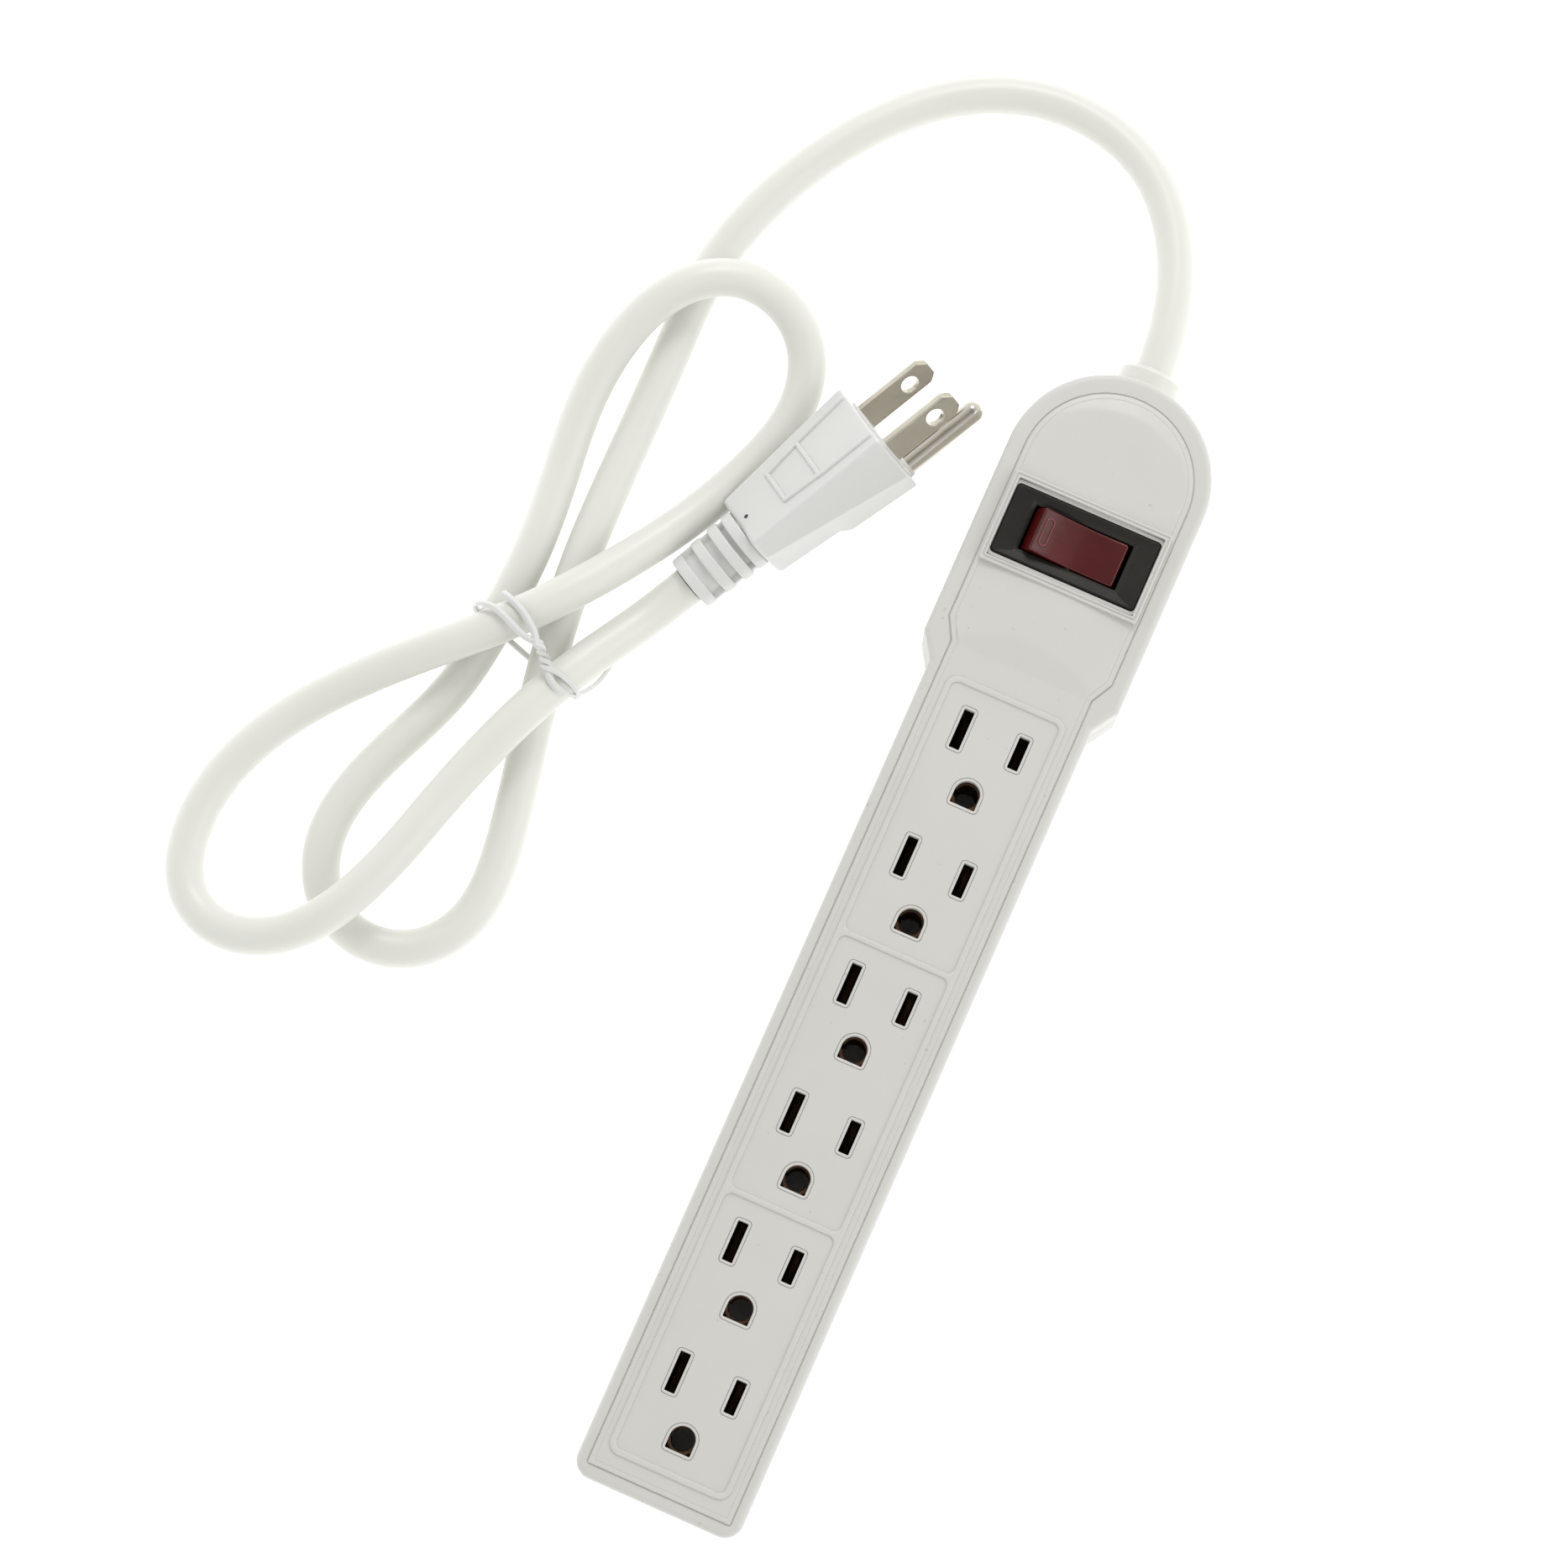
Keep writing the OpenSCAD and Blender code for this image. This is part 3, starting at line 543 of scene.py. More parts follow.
# bead round the three pairs of outlets
b.loft([b.flat(bead_out(o), z) for o, z in [(0.0, 24.0), (-0.03, 24.2), (-0.12, 24.33), (-0.26, 24.38)]])
for cy in PANELS:
    b.loft([b.flat(bead_in(cy, o), z) for o, z in [(0.26, 24.38), (0.12, 24.33), (0.03, 24.2), (0.0, 24.0)]])
b.fill([bead_out(-0.26)] + [bead_in(cy, 0.26) for cy in PANELS], 24.38)
for n, cy in enumerate(PANELS):
    b.fill([bead_in(cy, 0.0)] + [h(LIP[0][0]) for i, h in HOLES if i // 2 == n], FACE)
for i, h in HOLES:
    b.loft([b.flat(h(o), z) for o, z in LIP])
# crowned head with the switch opening
well = rrect(32.6, 17.0, 0.5, 0, SW_Y, 4)
well_d = []
for k in range(len(well)):
    p, q = well[k], well[(k + 1) % len(well)]
    m = max(1, int(math.hypot(q[0] - p[0], q[1] - p[1]) / 0.8))
    well_d += [(p[0] + (q[0] - p[0]) * j / m, p[1] + (q[1] - p[1]) * j / m) for j in range(m)]
grid = []
gx, gy = 0.55, 0.55
pts = np.array([(x, y) for y in np.arange(RAMP_Y + 0.45, 121.4, gy) for x in np.arange(-17.8, 17.81, gx)])
ok = inside(pts, head_loop) & ~inside(pts, well_d)
pts = pts[ok]
ring_pts = np.array(head_loop + well_d)
d2 = ((pts[:, None, :] - ring_pts[None]) ** 2).sum(2).min(1)
b.fill([head_loop, well_d], head_z, extra=[tuple(p) for p in pts[d2 > 0.1]])
b.loft([b.flat(well_d, head_z), b.flat(well_d, 24.72)])
trench = rrect(32.4, 15.7, 0.9, 0, SW_Y, 4)
cut = rrect(28.0, 13.2, 0.4, 0, SW_Y, 4)
b.fill([well_d, trench], 24.72)
b.loft([b.flat(trench, 24.72), b.flat(trench, 23.4)])
b.fill([trench, cut], 23.4)
b.loft([b.flat(cut, 23.4), b.flat(cut, 21.8)])
# underside of the roof and the inner wall
b.fill([outer(2.0), cut] + [h(0.0) for _, h in HOLES], 21.8)
b.loft([b.flat(outer(2.0), 21.8), b.flat(outer(2.0), 12.65)])
top = b.make("top_shell", housing, "strip", "housing_plastic", sharp=42)
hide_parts("top_cover")

# double ridge round the switch, moulded on the top shell
b = Build()
FR = [(0.0, 23.6), (0.0, 25.3), (0.06, 25.42), (0.18, 25.5), (0.34, 25.5), (0.44, 25.42), (0.5, 25.28), (0.58, 25.22), (0.74, 25.22),
      (0.82, 25.28), (0.88, 25.44), (0.96, 25.54), (1.1, 25.56), (1.22, 25.52), (1.29, 25.4), (1.3, 24.0), (0.6, 23.6)]
loops = [b.flat(rrect(35.2 - 2 * o, 20.0 - 2 * o, max(0.45 - o * 0.2, 0.2), 0, SW_Y, 5), z) for o, z in FR]
b.loft(loops + [loops[0]])
ridge = b.make("switch_surround", housing, "strip", "housing_plastic", sharp=50)

# ---------------------------------------------------------------- base shell
b = Build()
rings = []
for k in range(7):
    a = math.radians(90 * k / 6)
    rings.append(b.flat(outer(1.2 * (1 - math.sin(a))), 1.2 * (1 - math.cos(a))))
rings += [b.flat(outer(0.0), 12.1), b.flat(outer(0.3), 12.4), b.flat(outer(2.15), 12.4), b.flat(outer(2.15), 14.3), b.flat(outer(2.35), 14.5),
          b.flat(outer(3.1), 14.5), b.flat(outer(3.1), 2.0)]
b.loft(rings)


def key_loop(y, o):
    a = math.degrees(math.asin((1.9 + o) / (3.8 + o)))
    return (arc(0, y, 3.8 + o, 90 + a, 450 - a, 40) + arc(0, y + 8, 1.9 + o, 0, 180, 16))


circle = lambda x, y, r, n=40: [(x + r * math.cos(2 * math.pi * k / n), y + r * math.sin(2 * math.pi * k / n)) for k in range(n)]
KEYS = (-98, 57)
rim = [outer(1.2)] + [key_loop(y, 0.25) for y in KEYS] + [circle(x, y, 3.45) for x, y in SCREWS]
plate = rrect(26, 60, 2.0, 0, 5, 6)
b.fill(rim + [plate], 0.0)
# shallow blank recess for a rating plate
b.loft([b.flat(plate, 0.0), b.flat(rrect(25.8, 59.8, 1.9, 0, 5, 6), 0.25)])
b.fill([rrect(25.8, 59.8, 1.9, 0, 5, 6)], 0.25)
b.fill([outer(3.1)] + [key_loop(y, 0.0) for y in KEYS] + [circle(x, y, 3.9) for x, y in SCREWS], 2.0)
for y in KEYS:
    b.loft([b.flat(key_loop(y, 0.25), 0.0), b.flat(key_loop(y, 0.0), 0.25), b.flat(key_loop(y, 0.0), 2.0)])
for x, y in SCREWS:
    ids = b.loft([b.flat(circle(x, y, 3.45), 0.0), b.flat(circle(x, y, 3.2), 0.25), b.flat(circle(x, y, 3.2), 2.6), b.flat(circle(x, y, 1.7), 2.6),
                  b.flat(circle(x, y, 1.7), 5.0), b.flat(circle(x, y, 3.9), 5.0), b.flat(circle(x, y, 3.9), 2.0)])
base = b.make("base_shell", housing, "strip", "housing_plastic", sharp=42)
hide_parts("base_cover")

# ---------------------------------------------------------------- switch
b = Build()


def bez(w, h, r, z):
    return b.flat(rrect(w, h, r, 0, SW_Y, 6), z)


rings = [bez(27.6, 12.8, 0.3, 8.5), bez(27.6, 12.8, 0.3, 24.0), bez(31.4, 14.7, 0.7, 24.02), bez(31.8, 15.05, 0.85, 24.1), bez(31.8, 15.05, 0.85, 24.98),
         bez(31.73, 14.98, 0.82, 25.1), bez(31.5, 14.75, 0.75, 25.17), bez(31.2, 14.45, 0.62, 25.18),
         bez(23.6, 11.75, 0.12, 24.86), bez(23.4, 11.6, 0.1, 24.84), bez(23.2, 11.42, 0.1, 24.78), bez(21.95, 10.2, 0.12, 24.48), bez(21.75, 10.0, 0.1, 24.4),
         bez(21.7, 9.95, 0.1, 24.2), bez(21.7, 9.95, 0.1, 10.0)]
b.loft(rings)
b.cap(rings[0])
b.cap(rings[-1])
bezel = b.make("switch_bezel", bezel_m, "strip", "switch_black", sharp=50)
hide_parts("switch_housing")
# black ring set in the gap round the bezel: painted shade, standing in for the shadow that shows as a thin dark line
# round it
b = Build()
gap_shade_ring = [b.flat(rrect(w, h, q, 0, SW_Y, 6), z) for w, h, q, z in [(31.6, 14.85, 0.7, 24.55), (32.3, 15.6, 0.9, 24.6), (32.34, 15.66, 0.9, 24.5), (32.34, 15.66, 0.9, 23.5), (31.6, 14.85, 0.7, 23.5)]]
b.loft(gap_shade_ring + [gap_shade_ring[0]])
gap_shade_ring = b.make("switch_gap_painted_shade", bezel_m, "strip", "switch_black", sharp=50)

# rocker: concave face, rounded edges, tapered ends, in its own frame round the pivot
b = Build()


def face_z(x):
    return 3.0 + 1.2 * (abs(x) / 9.5) ** 1.6


nx, ny = 44, 14
EDGE = 0.42


def rocker_ring(o, dz):
    """Loop round the rocker's face, pulled in by o. dz is not used."""
    hx, hy = 9.5 - o, 4.75 - o
    r = max(0.35 - o * 0.5, 0.12)
    loop = rrect(2 * hx, 2 * hy, r, 0, 0, 4)
    dense = []
    for k in range(len(loop)):
        p, q = loop[k], loop[(k + 1) % len(loop)]
        m = max(1, round(math.hypot(q[0] - p[0], q[1] - p[1]) / 0.6)) if abs(p[1] - q[1]) < 1e-9 and k % 5 == 4 else 1
        dense += [(p[0] + (q[0] - p[0]) * j / m, p[1] + (q[1] - p[1]) * j / m) for j in range(m)]
    return dense


base_count = None
ids = []
steps = [(EDGE, 0.0), (0.30, 0.015), (0.17, 0.07), (0.07, 0.16), (0.015, 0.28), (0.0, 0.42)]
NSEG = 32


def rock_loop(hx, hy, r):
    a, c = hx - r, hy - r
    out = arc(a, -c, r, -90, 0, 4)
    out += arc(a, c, r, 0, 90, 4)
    out += [(a - 2 * a * j / NSEG, hy) for j in range(1, NSEG)]
    out += arc(-a, c, r, 90, 180, 4)
    out += arc(-a, -c, r, 180, 270, 4)
    out += [(-a + 2 * a * j / NSEG, -hy) for j in range(1, NSEG)]
    return out


for o, dz in steps:
    ids.append(b.ring([(x, y, face_z(x) - dz) for x, y in rock_loop(9.5 - o, 4.75 - o, max(0.5 - o, 0.15))]))
# the ends spread outwards down to the skirt
for t in (0.1, 0.3, 0.5, 0.75, 1.0):
    hx = 9.5 + 1.2 * t ** 0.8
    ids.append(b.ring([(x, y, (face_z(x * 9.5 / hx) - 0.42) * (1 - t) + (-1.0) * t) for x, y in rock_loop(hx, 4.75, 0.5)]))
ids.append(b.ring([(x, y, -3.0) for x, y in rock_loop(9.9, 4.75, 0.5)]))
for a, c in zip(ids, ids[1:]):
    b.bridge(a, c)
b.cap(ids[-1])
inner = rock_loop(9.5 - EDGE, 4.75 - EDGE, 0.15)
gridp = [(x, y) for x in np.arange(-8.8, 8.81, 0.4) for y in np.arange(-4.0, 4.01, 0.5)]
b.fill([inner], lambda x, y: face_z(x), extra=gridp)
rocker = b.make("rocker_button", red, "rocker", "rocker_red", place=ROCK, sharp=55, weighted=False)
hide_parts("rocker")
# raised outline of a bar at the end that is up
b = Build()
MX, ML, MW = -7.25, 6.2, 1.95
prof = [(0.0, -0.3), (0.0, 0.16), (0.06, 0.3), (0.17, 0.36), (0.28, 0.3), (0.34, 0.16), (0.34, -0.3)]
loops = [b.ring([(x, y, face_z(x) + h) for x, y in rrect(MW - 2 * o, ML - 2 * o, MW / 2 - o - 0.02, MX, 0, 10)]) for o, h in prof]
b.loft(loops + [loops[0]])
# the mark's red is far lighter than the rocker's: painted highlight along its rounded ridges
mark_highlight_m = plastic("rocker_mark_painted_highlight", (0.22, 0.045, 0.04), 0.16, 0.05, 600.0, 0.000006)
mark = b.make("rocker_mark", mark_highlight_m, "rocker", "rocker_red", place=ROCK, sharp=60, weighted=False)

# ---------------------------------------------------------------- gland
E = 126.0
prof = [(CORD_R + 0.05, E - 6.5), (7.1, E - 6.5), (7.1, E - 4.3), (5.6, E - 4.3), (5.6, E - 1.3), (6.5, E - 1.3), (6.6, E + 1.0), (6.6, E + 3.8), (4.9, E + 3.8),
        (4.8, E + 4.7), (CORD_R + 0.02, E + 4.7), (CORD_R + 0.05, E - 6.5)]
b = lathe(round_profile(prof[:-1], 0.45, 5) + [prof[0]], 96)
gland = b.make("cord_collar", pvc, "strip", "cord_pvc", place=Matrix.Translation(Vector((0, 0, EXIT[2]))), sharp=50)
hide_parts("cord_gland")

# ---------------------------------------------------------------- plug
def section(k, d=0.0):
    """Six-cornered section; k is 0 at the front and 1 at the rear. Corners (x, z), counter-clockwise."""
    L = lambda a, c: a + (c - a) * k
    w, t, c, g, e = L(10.4, 8.3), L(7.6, 5.2), L(5.2, 0.2), L(13.6, 10.4), L(3.6, 3.5)
    # the lobe round the ground pin stands out over the front half
    q = min(max((19.0 - 34.0 * k) / 2.6, 0.0), 1.0)
    q = q * q * (3 - 2 * q)
    g += q * 2.2
    e += (2.9 - e) * q * 0.9
    poly = [(-w, t), (-w, -c), (-e, -g), (e, -g), (w, -c), (w, t)]
    poly = inset(poly, d)
    rad = [0.7, 1.2, 1.0, 1.0, 1.2, 0.7]
    return soften(poly, [max(r - d * 0.6, 0.12) for r in rad], 5)


b = Build()
ids = []
stations = [(0.0, 0.75), (-0.06, 0.45), (-0.2, 0.2), (-0.42, 0.05), (-0.7, 0.0)]
stations += [(-0.7 - 32.3 * j / 64, 0.0) for j in range(1, 65)] + [(-33.35, 0.06), (-33.65, 0.2), (-33.88, 0.45), (-34.0, 0.8)]
for y, d in stations:
    ids.append(b.ring([(x, y, z) for x, z in section(min(max(-y / 34.0, 0), 1), d)]))
for a, c in zip(ids, ids[1:]):
    b.bridge(a, c)
b.cap(ids[0])
b.cap(ids[-1])
plug = b.make("plug_body", pvc_plug, "strip", "cord_pvc", place=PLUG, sharp=60, weighted=True)
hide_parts("plug_overmould")


def top_of(y):
    return 7.6 + 2.4 * y / 34.0


def bar(b, p, q, w=1.1, h=0.6):
    """Rounded raised bar on the plug's upper face from p to q, given as (x, y)."""
    p, q = Vector(p), Vector(q)
    d = (q - p).normalized()
    n = Vector((-d.y, d.x))
    rings = []
    prof = [(0.5, -0.3), (0.5, 0.12), (0.42, 0.3), (0.3, 0.42), (0.15, 0.46), (0.0, 0.47), (-0.15, 0.46), (-0.3, 0.42), (-0.42, 0.3), (-0.5, 0.12), (-0.5, -0.3)]
    for c, k in [(p - d * 0.46 * w, 0.72), (p - d * 0.38 * w, 0.92), (p - d * 0.2 * w, 1.0), (q + d * 0.2 * w, 1.0), (q + d * 0.38 * w, 0.92), (q + d * 0.46 * w, 0.72)]:
        rings.append(b.ring([(c.x + n.x * u * w * k, c.y + n.y * u * w * k, top_of(c.y) + (v * h / 0.47 * (k if v > 0 else 1))) for u, v in prof]))
    for r0, r1 in zip(rings, rings[1:]):
        b.bridge(r0, r1)
    b.cap(rings[0])
    b.cap(rings[-1])


b = Build()
bar(b, (-7.1, -1.0), (-6.15, -13.6))
bar(b, (7.1, -1.0), (6.15, -13.6))
bar(b, (-6.1, -14.1), (6.1, -14.1))
bar(b, (-5.9, -14.8), (-4.9, -22.4))
bar(b, (5.9, -14.8), (4.9, -22.4))
bar(b, (-4.8, -22.9), (4.8, -22.9))
bars = b.make("plug_ribs", pvc_plug, "strip", "cord_pvc", place=PLUG, sharp=60, weighted=False, merge=0.0)
# small gate mark near the rear
b = Build()
r0 = b.ring([(0.4 + 0.5 * math.cos(a), -31.6 + 0.5 * math.sin(a), top_of(-31.6 + 0.5 * math.sin(a)) + 0.02) for a in [2 * math.pi * k / 24 for k in range(24)]])
r1 = b.ring([(0.4 + 0.3 * math.cos(a), -31.6 + 0.3 * math.sin(a), top_of(-31.6) - 0.25) for a in [2 * math.pi * k / 24 for k in range(24)]])
b.bridge(r0, r1)
b.cap(r0)
b.cap(r1)
gate = b.make("plug_gate_mark", gate_m, "strip", "cord_pvc", place=PLUG, weighted=False)

# strain relief: rings on a core, tied by two spines
prof = [(5.2, -33.0)]
for c, r in [(-35.3, 6.7), (-39.0, 6.7), (-43.5, 6.45), (-48.6, 6.15)]:
    prof += [(4.75, c + 1.5), (4.75, c + 1.3), (r, c + 1.25), (r, c - 1.25), (4.75, c - 1.3), (4.75, c - 1.5)]
prof = prof[:-1] + [(4.7, -49.95), (CORD_R + 0.02, -50.0), (CORD_R + 0.02, -40.0)]
b = lathe(round_profile(prof, 0.42, 4), 72)
spin = Matrix.Rotation(math.radians(39), 4, "Y")
for s in (-1, 1):
    for y0, y1 in [(-37.9, -36.4), (-42.4, -40.1), (-47.5, -44.6)]:
        q = [b.ring([spin @ Vector((s * r, y, z)) for y, z in rrect(y1 - y0 + g, h, 0.4, (y0 + y1) / 2, 0, 4)]) for r, g, h in [(4.2, 1.0, 2.8), (5.8, 1.0, 2.6), (6.05, 0.8, 2.2)]]
        for r0, r1 in zip(q, q[1:]):
            b.bridge(r0, r1)
        b.cap(q[0])
        b.cap(q[-1])
relief = b.make("plug_strain_relief", pvc_plug, "strip", "cord_pvc", place=PLUG, sharp=50, merge=0.0)

# inner core that carries the blades
b = Build()
core = [(-8.4, 3.8), (-8.4, -4.4), (-1.2, -14.6), (1.2, -14.6), (8.4, -4.4), (8.4, 3.8)]
ids = [b.ring([(x, y, z) for x, z in soften(inset(core, d), [max(0.5 - 0.5 * d, 0.15)] * 6, 4)]) for y, d in [(-4.98, 0.0), (0.3, 0.0), (0.46, 0.06), (0.55, 0.22)]]
for a, c in zip(ids, ids[1:]):
    b.bridge(a, c)
b.cap(ids[0])
b.cap(ids[-1])
for cx, cz, r in [(0, -GROUND_OFF, 2.75)]:
    q = [b.ring([(cx + rr * math.cos(2 * math.pi * k / 40), y, cz + rr * math.sin(2 * math.pi * k / 40)) for k in range(40)]) for rr, y in
         [(r, 0.3), (r, 0.95), (r - 0.1, 1.1), (r - 0.3, 1.15), (2.3, 1.15), (2.3, 0.3)]]
    for r0, r1 in zip(q, q[1:]):
        b.bridge(r0, r1)
    b.bridge(q[-1], q[0])
carrier = b.make("plug_core", carrier_m, "strip", "carrier_plastic", place=PLUG, sharp=50, merge=0.0)
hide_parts("plug_blade_carrier")

# blades: bevelled plates with a round hole
BL, BT, BW = 17.5, 1.52, 6.35


def blade(name, x0, node):
    b = Build()
    out = [(-11.9, -BW / 2), (BL - 1.7, -BW / 2), (BL, -BW / 2 + 1.55), (BL, BW / 2 - 1.55), (BL - 1.7, BW / 2), (-11.9, BW / 2)]
    loop = lambda d: soften(inset(out, d), [0.2, 0.9, 0.7, 0.7, 0.9, 0.2], 5)
    hole = lambda d: circle(11.9, 0.0, 2.0 + d, 40)
    bv = 0.16
    sides = []
    for s in (-1, 1):
        b.fill([loop(bv * 1.6), hole(bv)], s * BT / 2, place=lambda u, v, h: (x0 + h, u, v))
        for shape, sg in ((loop, 1.6), (hole, 1.0)):
            q = [b.ring([(x0 + s * h, u, v) for u, v in shape(d)]) for d, h in
                 [(bv * sg, BT / 2), (bv * sg * 0.45, BT / 2 - bv * 0.16), (bv * sg * 0.1, BT / 2 - bv * 0.5), (0.0, BT / 2 - bv)]]
            for r0, r1 in zip(q, q[1:]):
                b.bridge(r0, r1)
            sides.append(q[-1])
    b.bridge(sides[0], sides[2])
    b.bridge(sides[1], sides[3])
    o = b.make(name, nickel_m, "strip", "nickel", place=PLUG, sharp=45)
    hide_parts(node)
    return o


blade_n = blade("plug_blade_neutral", -GAP / 2, "plug_neutral_blade")
blade_h = blade("plug_blade_hot", GAP / 2, "plug_hot_blade")
R = 2.375
prof = [(0.01, -11.9), (2.1, -11.9), (2.1, 0.5), (R, 0.55), (R, 18.2)] + [(R * math.cos(math.radians(a)), 18.3 + 2.45 * math.sin(math.radians(a))) for a in range(6, 85, 6)] + [(0.01, 20.76)]
b = lathe(prof, 56, True, True)
pin = b.make("plug_ground_pin_round", pin_m, "strip", "nickel", place=PLUG @ Matrix.Translation(Vector((0, 0, -GROUND_OFF))), sharp=50)
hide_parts("plug_ground_pin")

# ---------------------------------------------------------------- twist tie
TW, TT = 0.78, 0.5
AT, YAW = Vector((-96.5, 24.4, 0)), math.radians(-17.5)


def on_plane(u, z):
    return (AT.x + math.cos(YAW) * u, AT.y + math.sin(YAW) * u, z)


def ribbon(s, a):
    """Flat plastic strip with a wire down its middle."""
    r = 1 / math.sqrt((math.cos(a) / TW) ** 2 + (math.sin(a) / (TT * 0.62)) ** 2)
    c = TT if abs(math.sin(a)) > 0.8 else 0.0
    return max(r, c)


t0, t1 = Vector((-93.4, 25.4, 19.4)), Vector((-90.1, 21.9, 18.9))
axis = t1 - t0
side = axis.cross(Vector((0, 0, 1))).normalized()
lift = side.cross(axis.normalized())


def helix(phase, turns=1.5, n=14):
    out = []
    for k in range(n + 1):
        a = phase + 2 * math.pi * turns * k / n
        out.append(tuple(t0 + axis * (k / n) + (side * math.cos(a) + lift * math.sin(a)) * 0.6))
    return out


free = [(-104.9, 32.6, 16.4), (-104.0, 32.2, 17.4), (-102.4, 31.7, 18.5), (-100.6, 31.0, 19.2), (-98.6, 29.9, 19.4), (-96.4, 28.2, 19.5), (-94.8, 26.8, 19.5)]
tail = [(-89.2, 20.4, 18.7), (-87.3, 18.8, 18.4), (-85.3, 18.4, 17.2), (-83.5, 19.0, 14.0), (-81.9, 21.0, 9.4), (-80.8, 23.9, 4.6), (-80.1, 27.2, 1.5), (-79.8, 30.6, 0.9), (-79.9, 33.4, 0.9)]
left = [on_plane(-12.2, 1.2), on_plane(-14.1, 4.2), on_plane(-14.3, 8.4), (-109.9, 28.6, 12.6), (-108.7, 28.7, 16.4), (-106.3, 28.9, 18.6), (-103.4, 28.4, 19.6), (-100.4, 27.0, 19.8),
        (-97.4, 25.7, 19.7), (-95.0, 25.4, 19.5)]
right = [(-88.4, 21.7, 18.7), (-86.4, 21.5, 18.2), (-84.2, 20.9, 16.9), (-82.4, 20.0, 13.6), on_plane(15.2, 9.0), on_plane(13.6, 4.2), on_plane(11.4, 1.3), on_plane(8.0, 0.8), on_plane(3.0, 0.8),
         on_plane(-3.0, 0.8), on_plane(-8.6, 0.8)]
whole = Build()


def join(target, other):
    i = len(target.v)
    target.v += other.v
    target.f += [tuple(k + i for k in f) for f in other.f]


p = bspline(free + helix(0.4) + tail, 7)
b, ids = tube(p, ribbon, 20)
for e, c, d in ((0, p[0], (p[0] - p[1]).normalized()), (-1, p[-1], (p[-1] - p[-2]).normalized())):
    last = ids[e]
    for k in (1, 2, 3):
        a = math.radians(26 * k)
        nxt = b.ring([c + (Vector(b.v[j]) - c) * math.cos(a) + d * TT * 0.7 * math.sin(a) for j in ids[e]])
        b.bridge(last, nxt)
        last = nxt
    b.cap(last)
join(whole, b)
ring = left + helix(0.4 + math.pi) + right
P = [Vector(q) for q in ring]
loop = []
for i in range(len(P)):
    for k in range(7):
        t = k / 7
        loop.append(((1 - t) ** 3 * P[i - 1] + (3 * t**3 - 6 * t * t + 4) * P[i] + (-3 * t**3 + 3 * t * t + 3 * t + 1) * P[(i + 1) % len(P)] + t**3 * P[(i + 2) % len(P)]) / 6)
b, ids = tube(loop + [loop[0].copy()], ribbon, 20)
join(whole, b)
tie = whole.make("tie_wire", tie_m, "strip", "tie_white", sharp=60, weighted=False, merge=0.0)
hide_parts("twist_tie")

# ---------------------------------------------------------------- carried-over CAD parts
LOOKS = {
    # the three busbars get the darkened brass: painted shade for the hollows under the slots and ground holes
    "housing_screws": steel_m, "busbar_tray": carrier_m, "neutral_busbar": busbar_brass_painted_shade, "hot_busbar": busbar_brass_painted_shade, "ground_busbar": busbar_brass_painted_shade,
    "rocker_pin": steel_m, "rocker_plunger": nylon, "plunger_spring": spring_m, "contact_arm": brass_m, "line_terminal": brass_m,
    "load_terminal": brass_m, "lamp_terminal": brass_m, "neon_lamp": lamp_m, "lamp_resistor": ceramic, "cord_clamp": fibre,
    "clamp_screws": steel_m, "cord_tail": pvc, "line_lead": wire_k, "neutral_lead": wire_w, "ground_lead": wire_g, "load_jumper": wire_k,
    "plug_cord_tail": pvc, "plug_conductors": wire_w,
}
for n, m in LOOKS.items():
    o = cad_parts[n]
    if not o.material_slots:
        o.data.materials.append(m)
    for s in o.material_slots:
        s.material = m

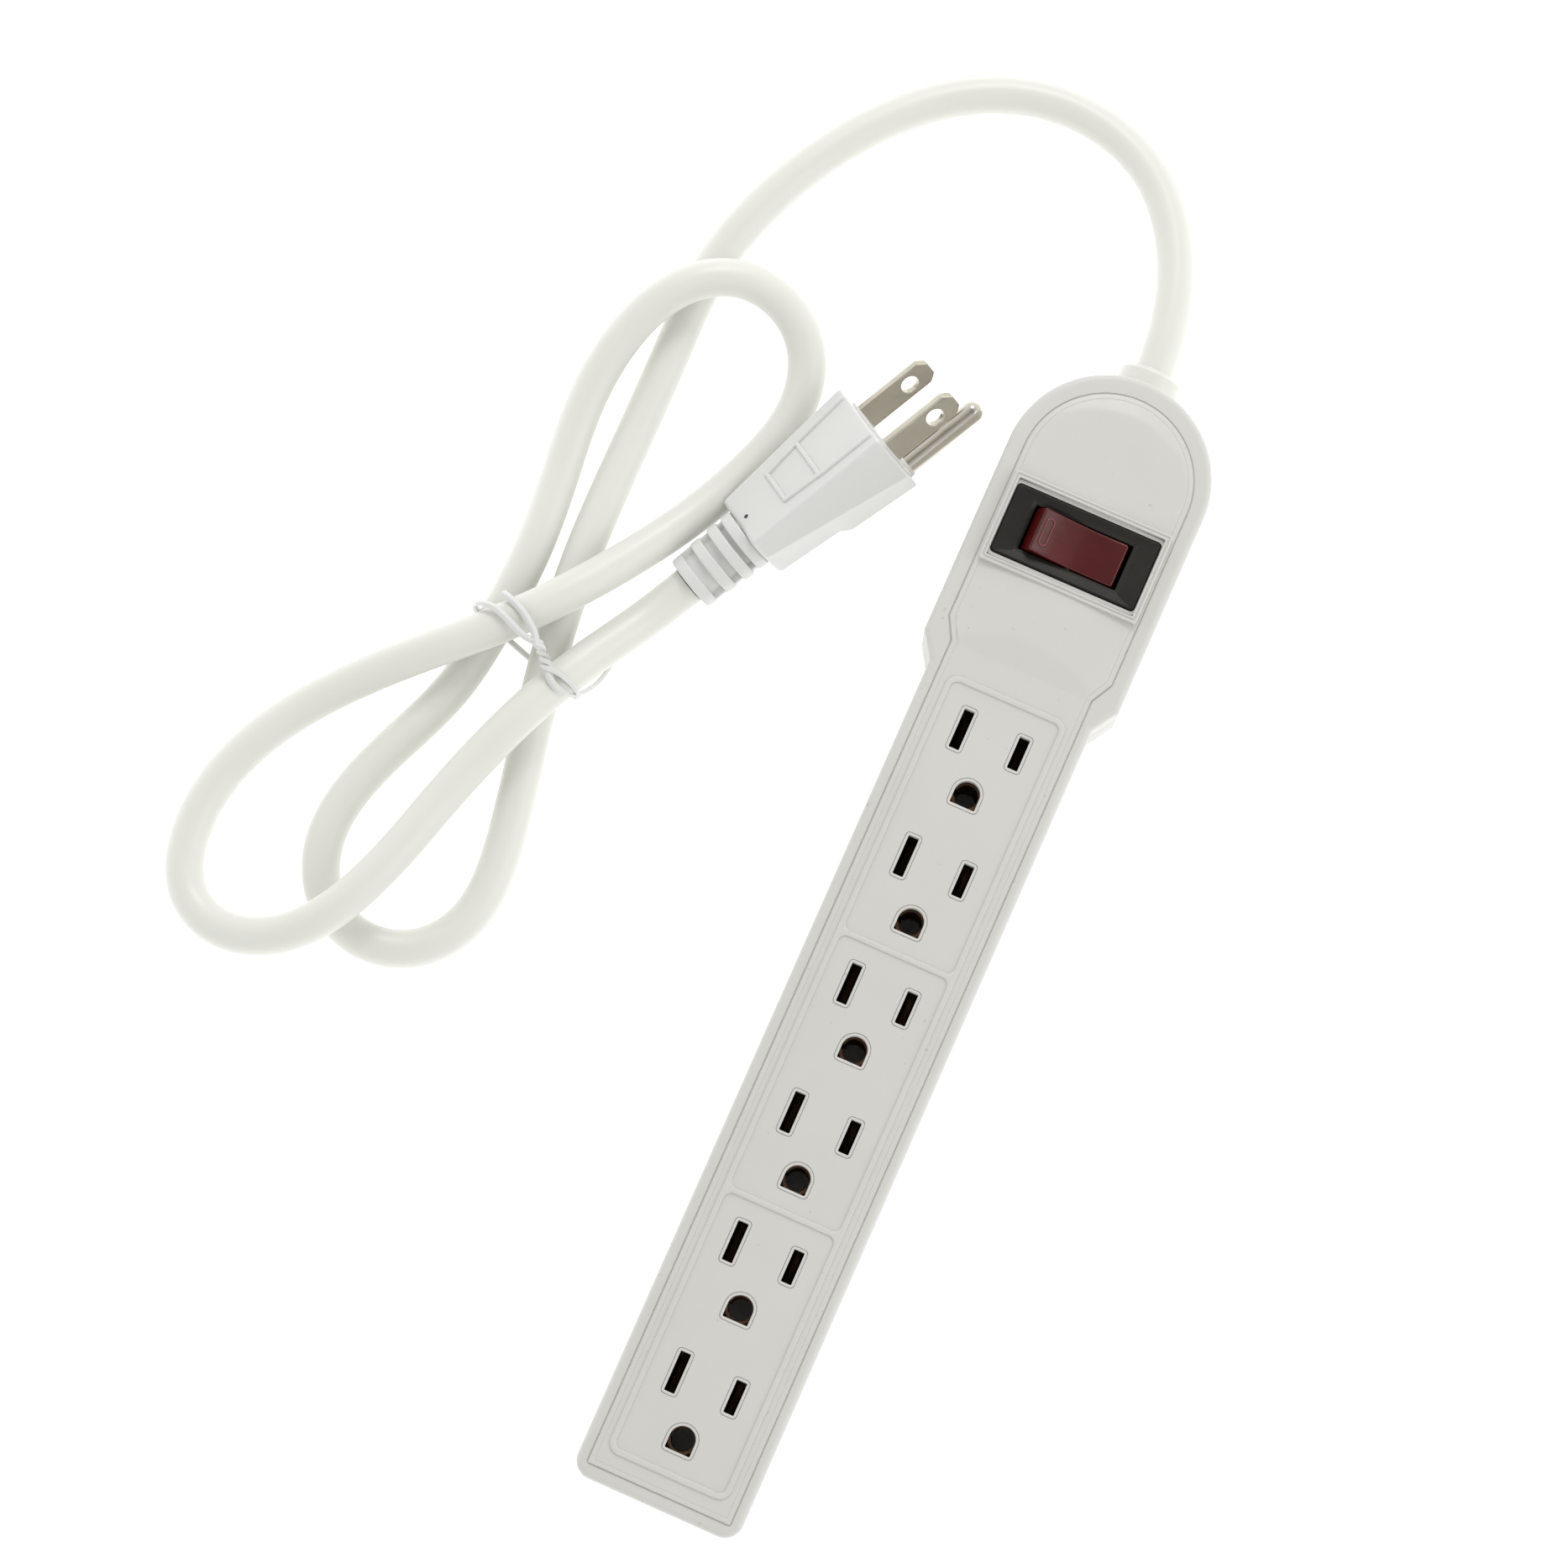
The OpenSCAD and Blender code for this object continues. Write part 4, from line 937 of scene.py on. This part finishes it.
# ---------------------------------------------------------------- floor and light
fm, ft, fs = tree("floor")
n = noise(ft, 3.0, 2)
r = ramp(ft, n.outputs["Fac"], [(0.3, (0.93, 0.93, 0.93)), (0.7, (0.95, 0.95, 0.95))])
ft.links.new(r.outputs[0], fs.inputs["Base Color"])
ft.links.new(r.outputs[0], fs.inputs["Emission Color"])
fs.inputs["Emission Strength"].default_value = 0.62
fs.inputs["Roughness"].default_value = 0.9
fs.inputs["Specular IOR Level"].default_value = 0.1
me = bpy.data.meshes.new("floor")
me.from_pydata([(-3, -3, -0.0003), (3, -3, -0.0003), (3, 3, -0.0003), (-3, 3, -0.0003)], [], [(0, 1, 2, 3)])
me.materials.append(fm)
floor = bpy.data.objects.new("floor", me)
scene.collection.objects.link(floor)

world = bpy.data.worlds.new("studio")
scene.world = world
world.use_nodes = True
bg = world.node_tree.nodes.get("Background") or world.node_tree.nodes.new("ShaderNodeBackground")
bg.inputs[0].default_value = (1.0, 1.0, 1.0, 1)
wt = world.node_tree
wc = wt.nodes.new("ShaderNodeTexCoord")
wz = wt.nodes.new("ShaderNodeSeparateXYZ")
wr = wt.nodes.new("ShaderNodeValToRGB")
stops = [(0.0, 1.0), (0.35, 0.95), (0.75, 0.72), (0.93, 0.5), (0.985, 0.3), (1.0, 0.22)]
e = wr.color_ramp.elements
while len(e) < len(stops):
    e.new(0.5)
for k, (p, c) in zip(e, stops):
    k.position, k.color = p, (c, c, c, 1)
wt.links.new(wc.outputs["Generated"], wz.inputs[0])
wt.links.new(wz.outputs["Z"], wr.inputs[0])
wt.links.new(wr.outputs[0], bg.inputs[0])
bg.inputs[1].default_value = 1.18


def area(name, loc, aim, size, power, colour=(1, 1, 1)):
    d = bpy.data.lights.new(name, "AREA")
    d.shape = "SQUARE"
    d.size = size
    d.energy = power
    d.color = colour
    o = bpy.data.objects.new(name, d)
    scene.collection.objects.link(o)
    o.location = loc
    o.rotation_mode = "QUATERNION"
    o.rotation_quaternion = (Vector(aim) - Vector(loc)).to_track_quat("-Z", "Y")
    return o


area("key", (-0.35, 1.05, 1.0), (-0.03, 0.02, 0), 0.5, 5.5)
area("fill", (1.05, 0.15, 0.85), (-0.03, 0.02, 0), 0.9, 3.0)

scene.view_settings.view_transform = "Standard"
scene.view_settings.look = "None"
scene.view_settings.exposure = 0.0
scene.view_settings.gamma = 1.0
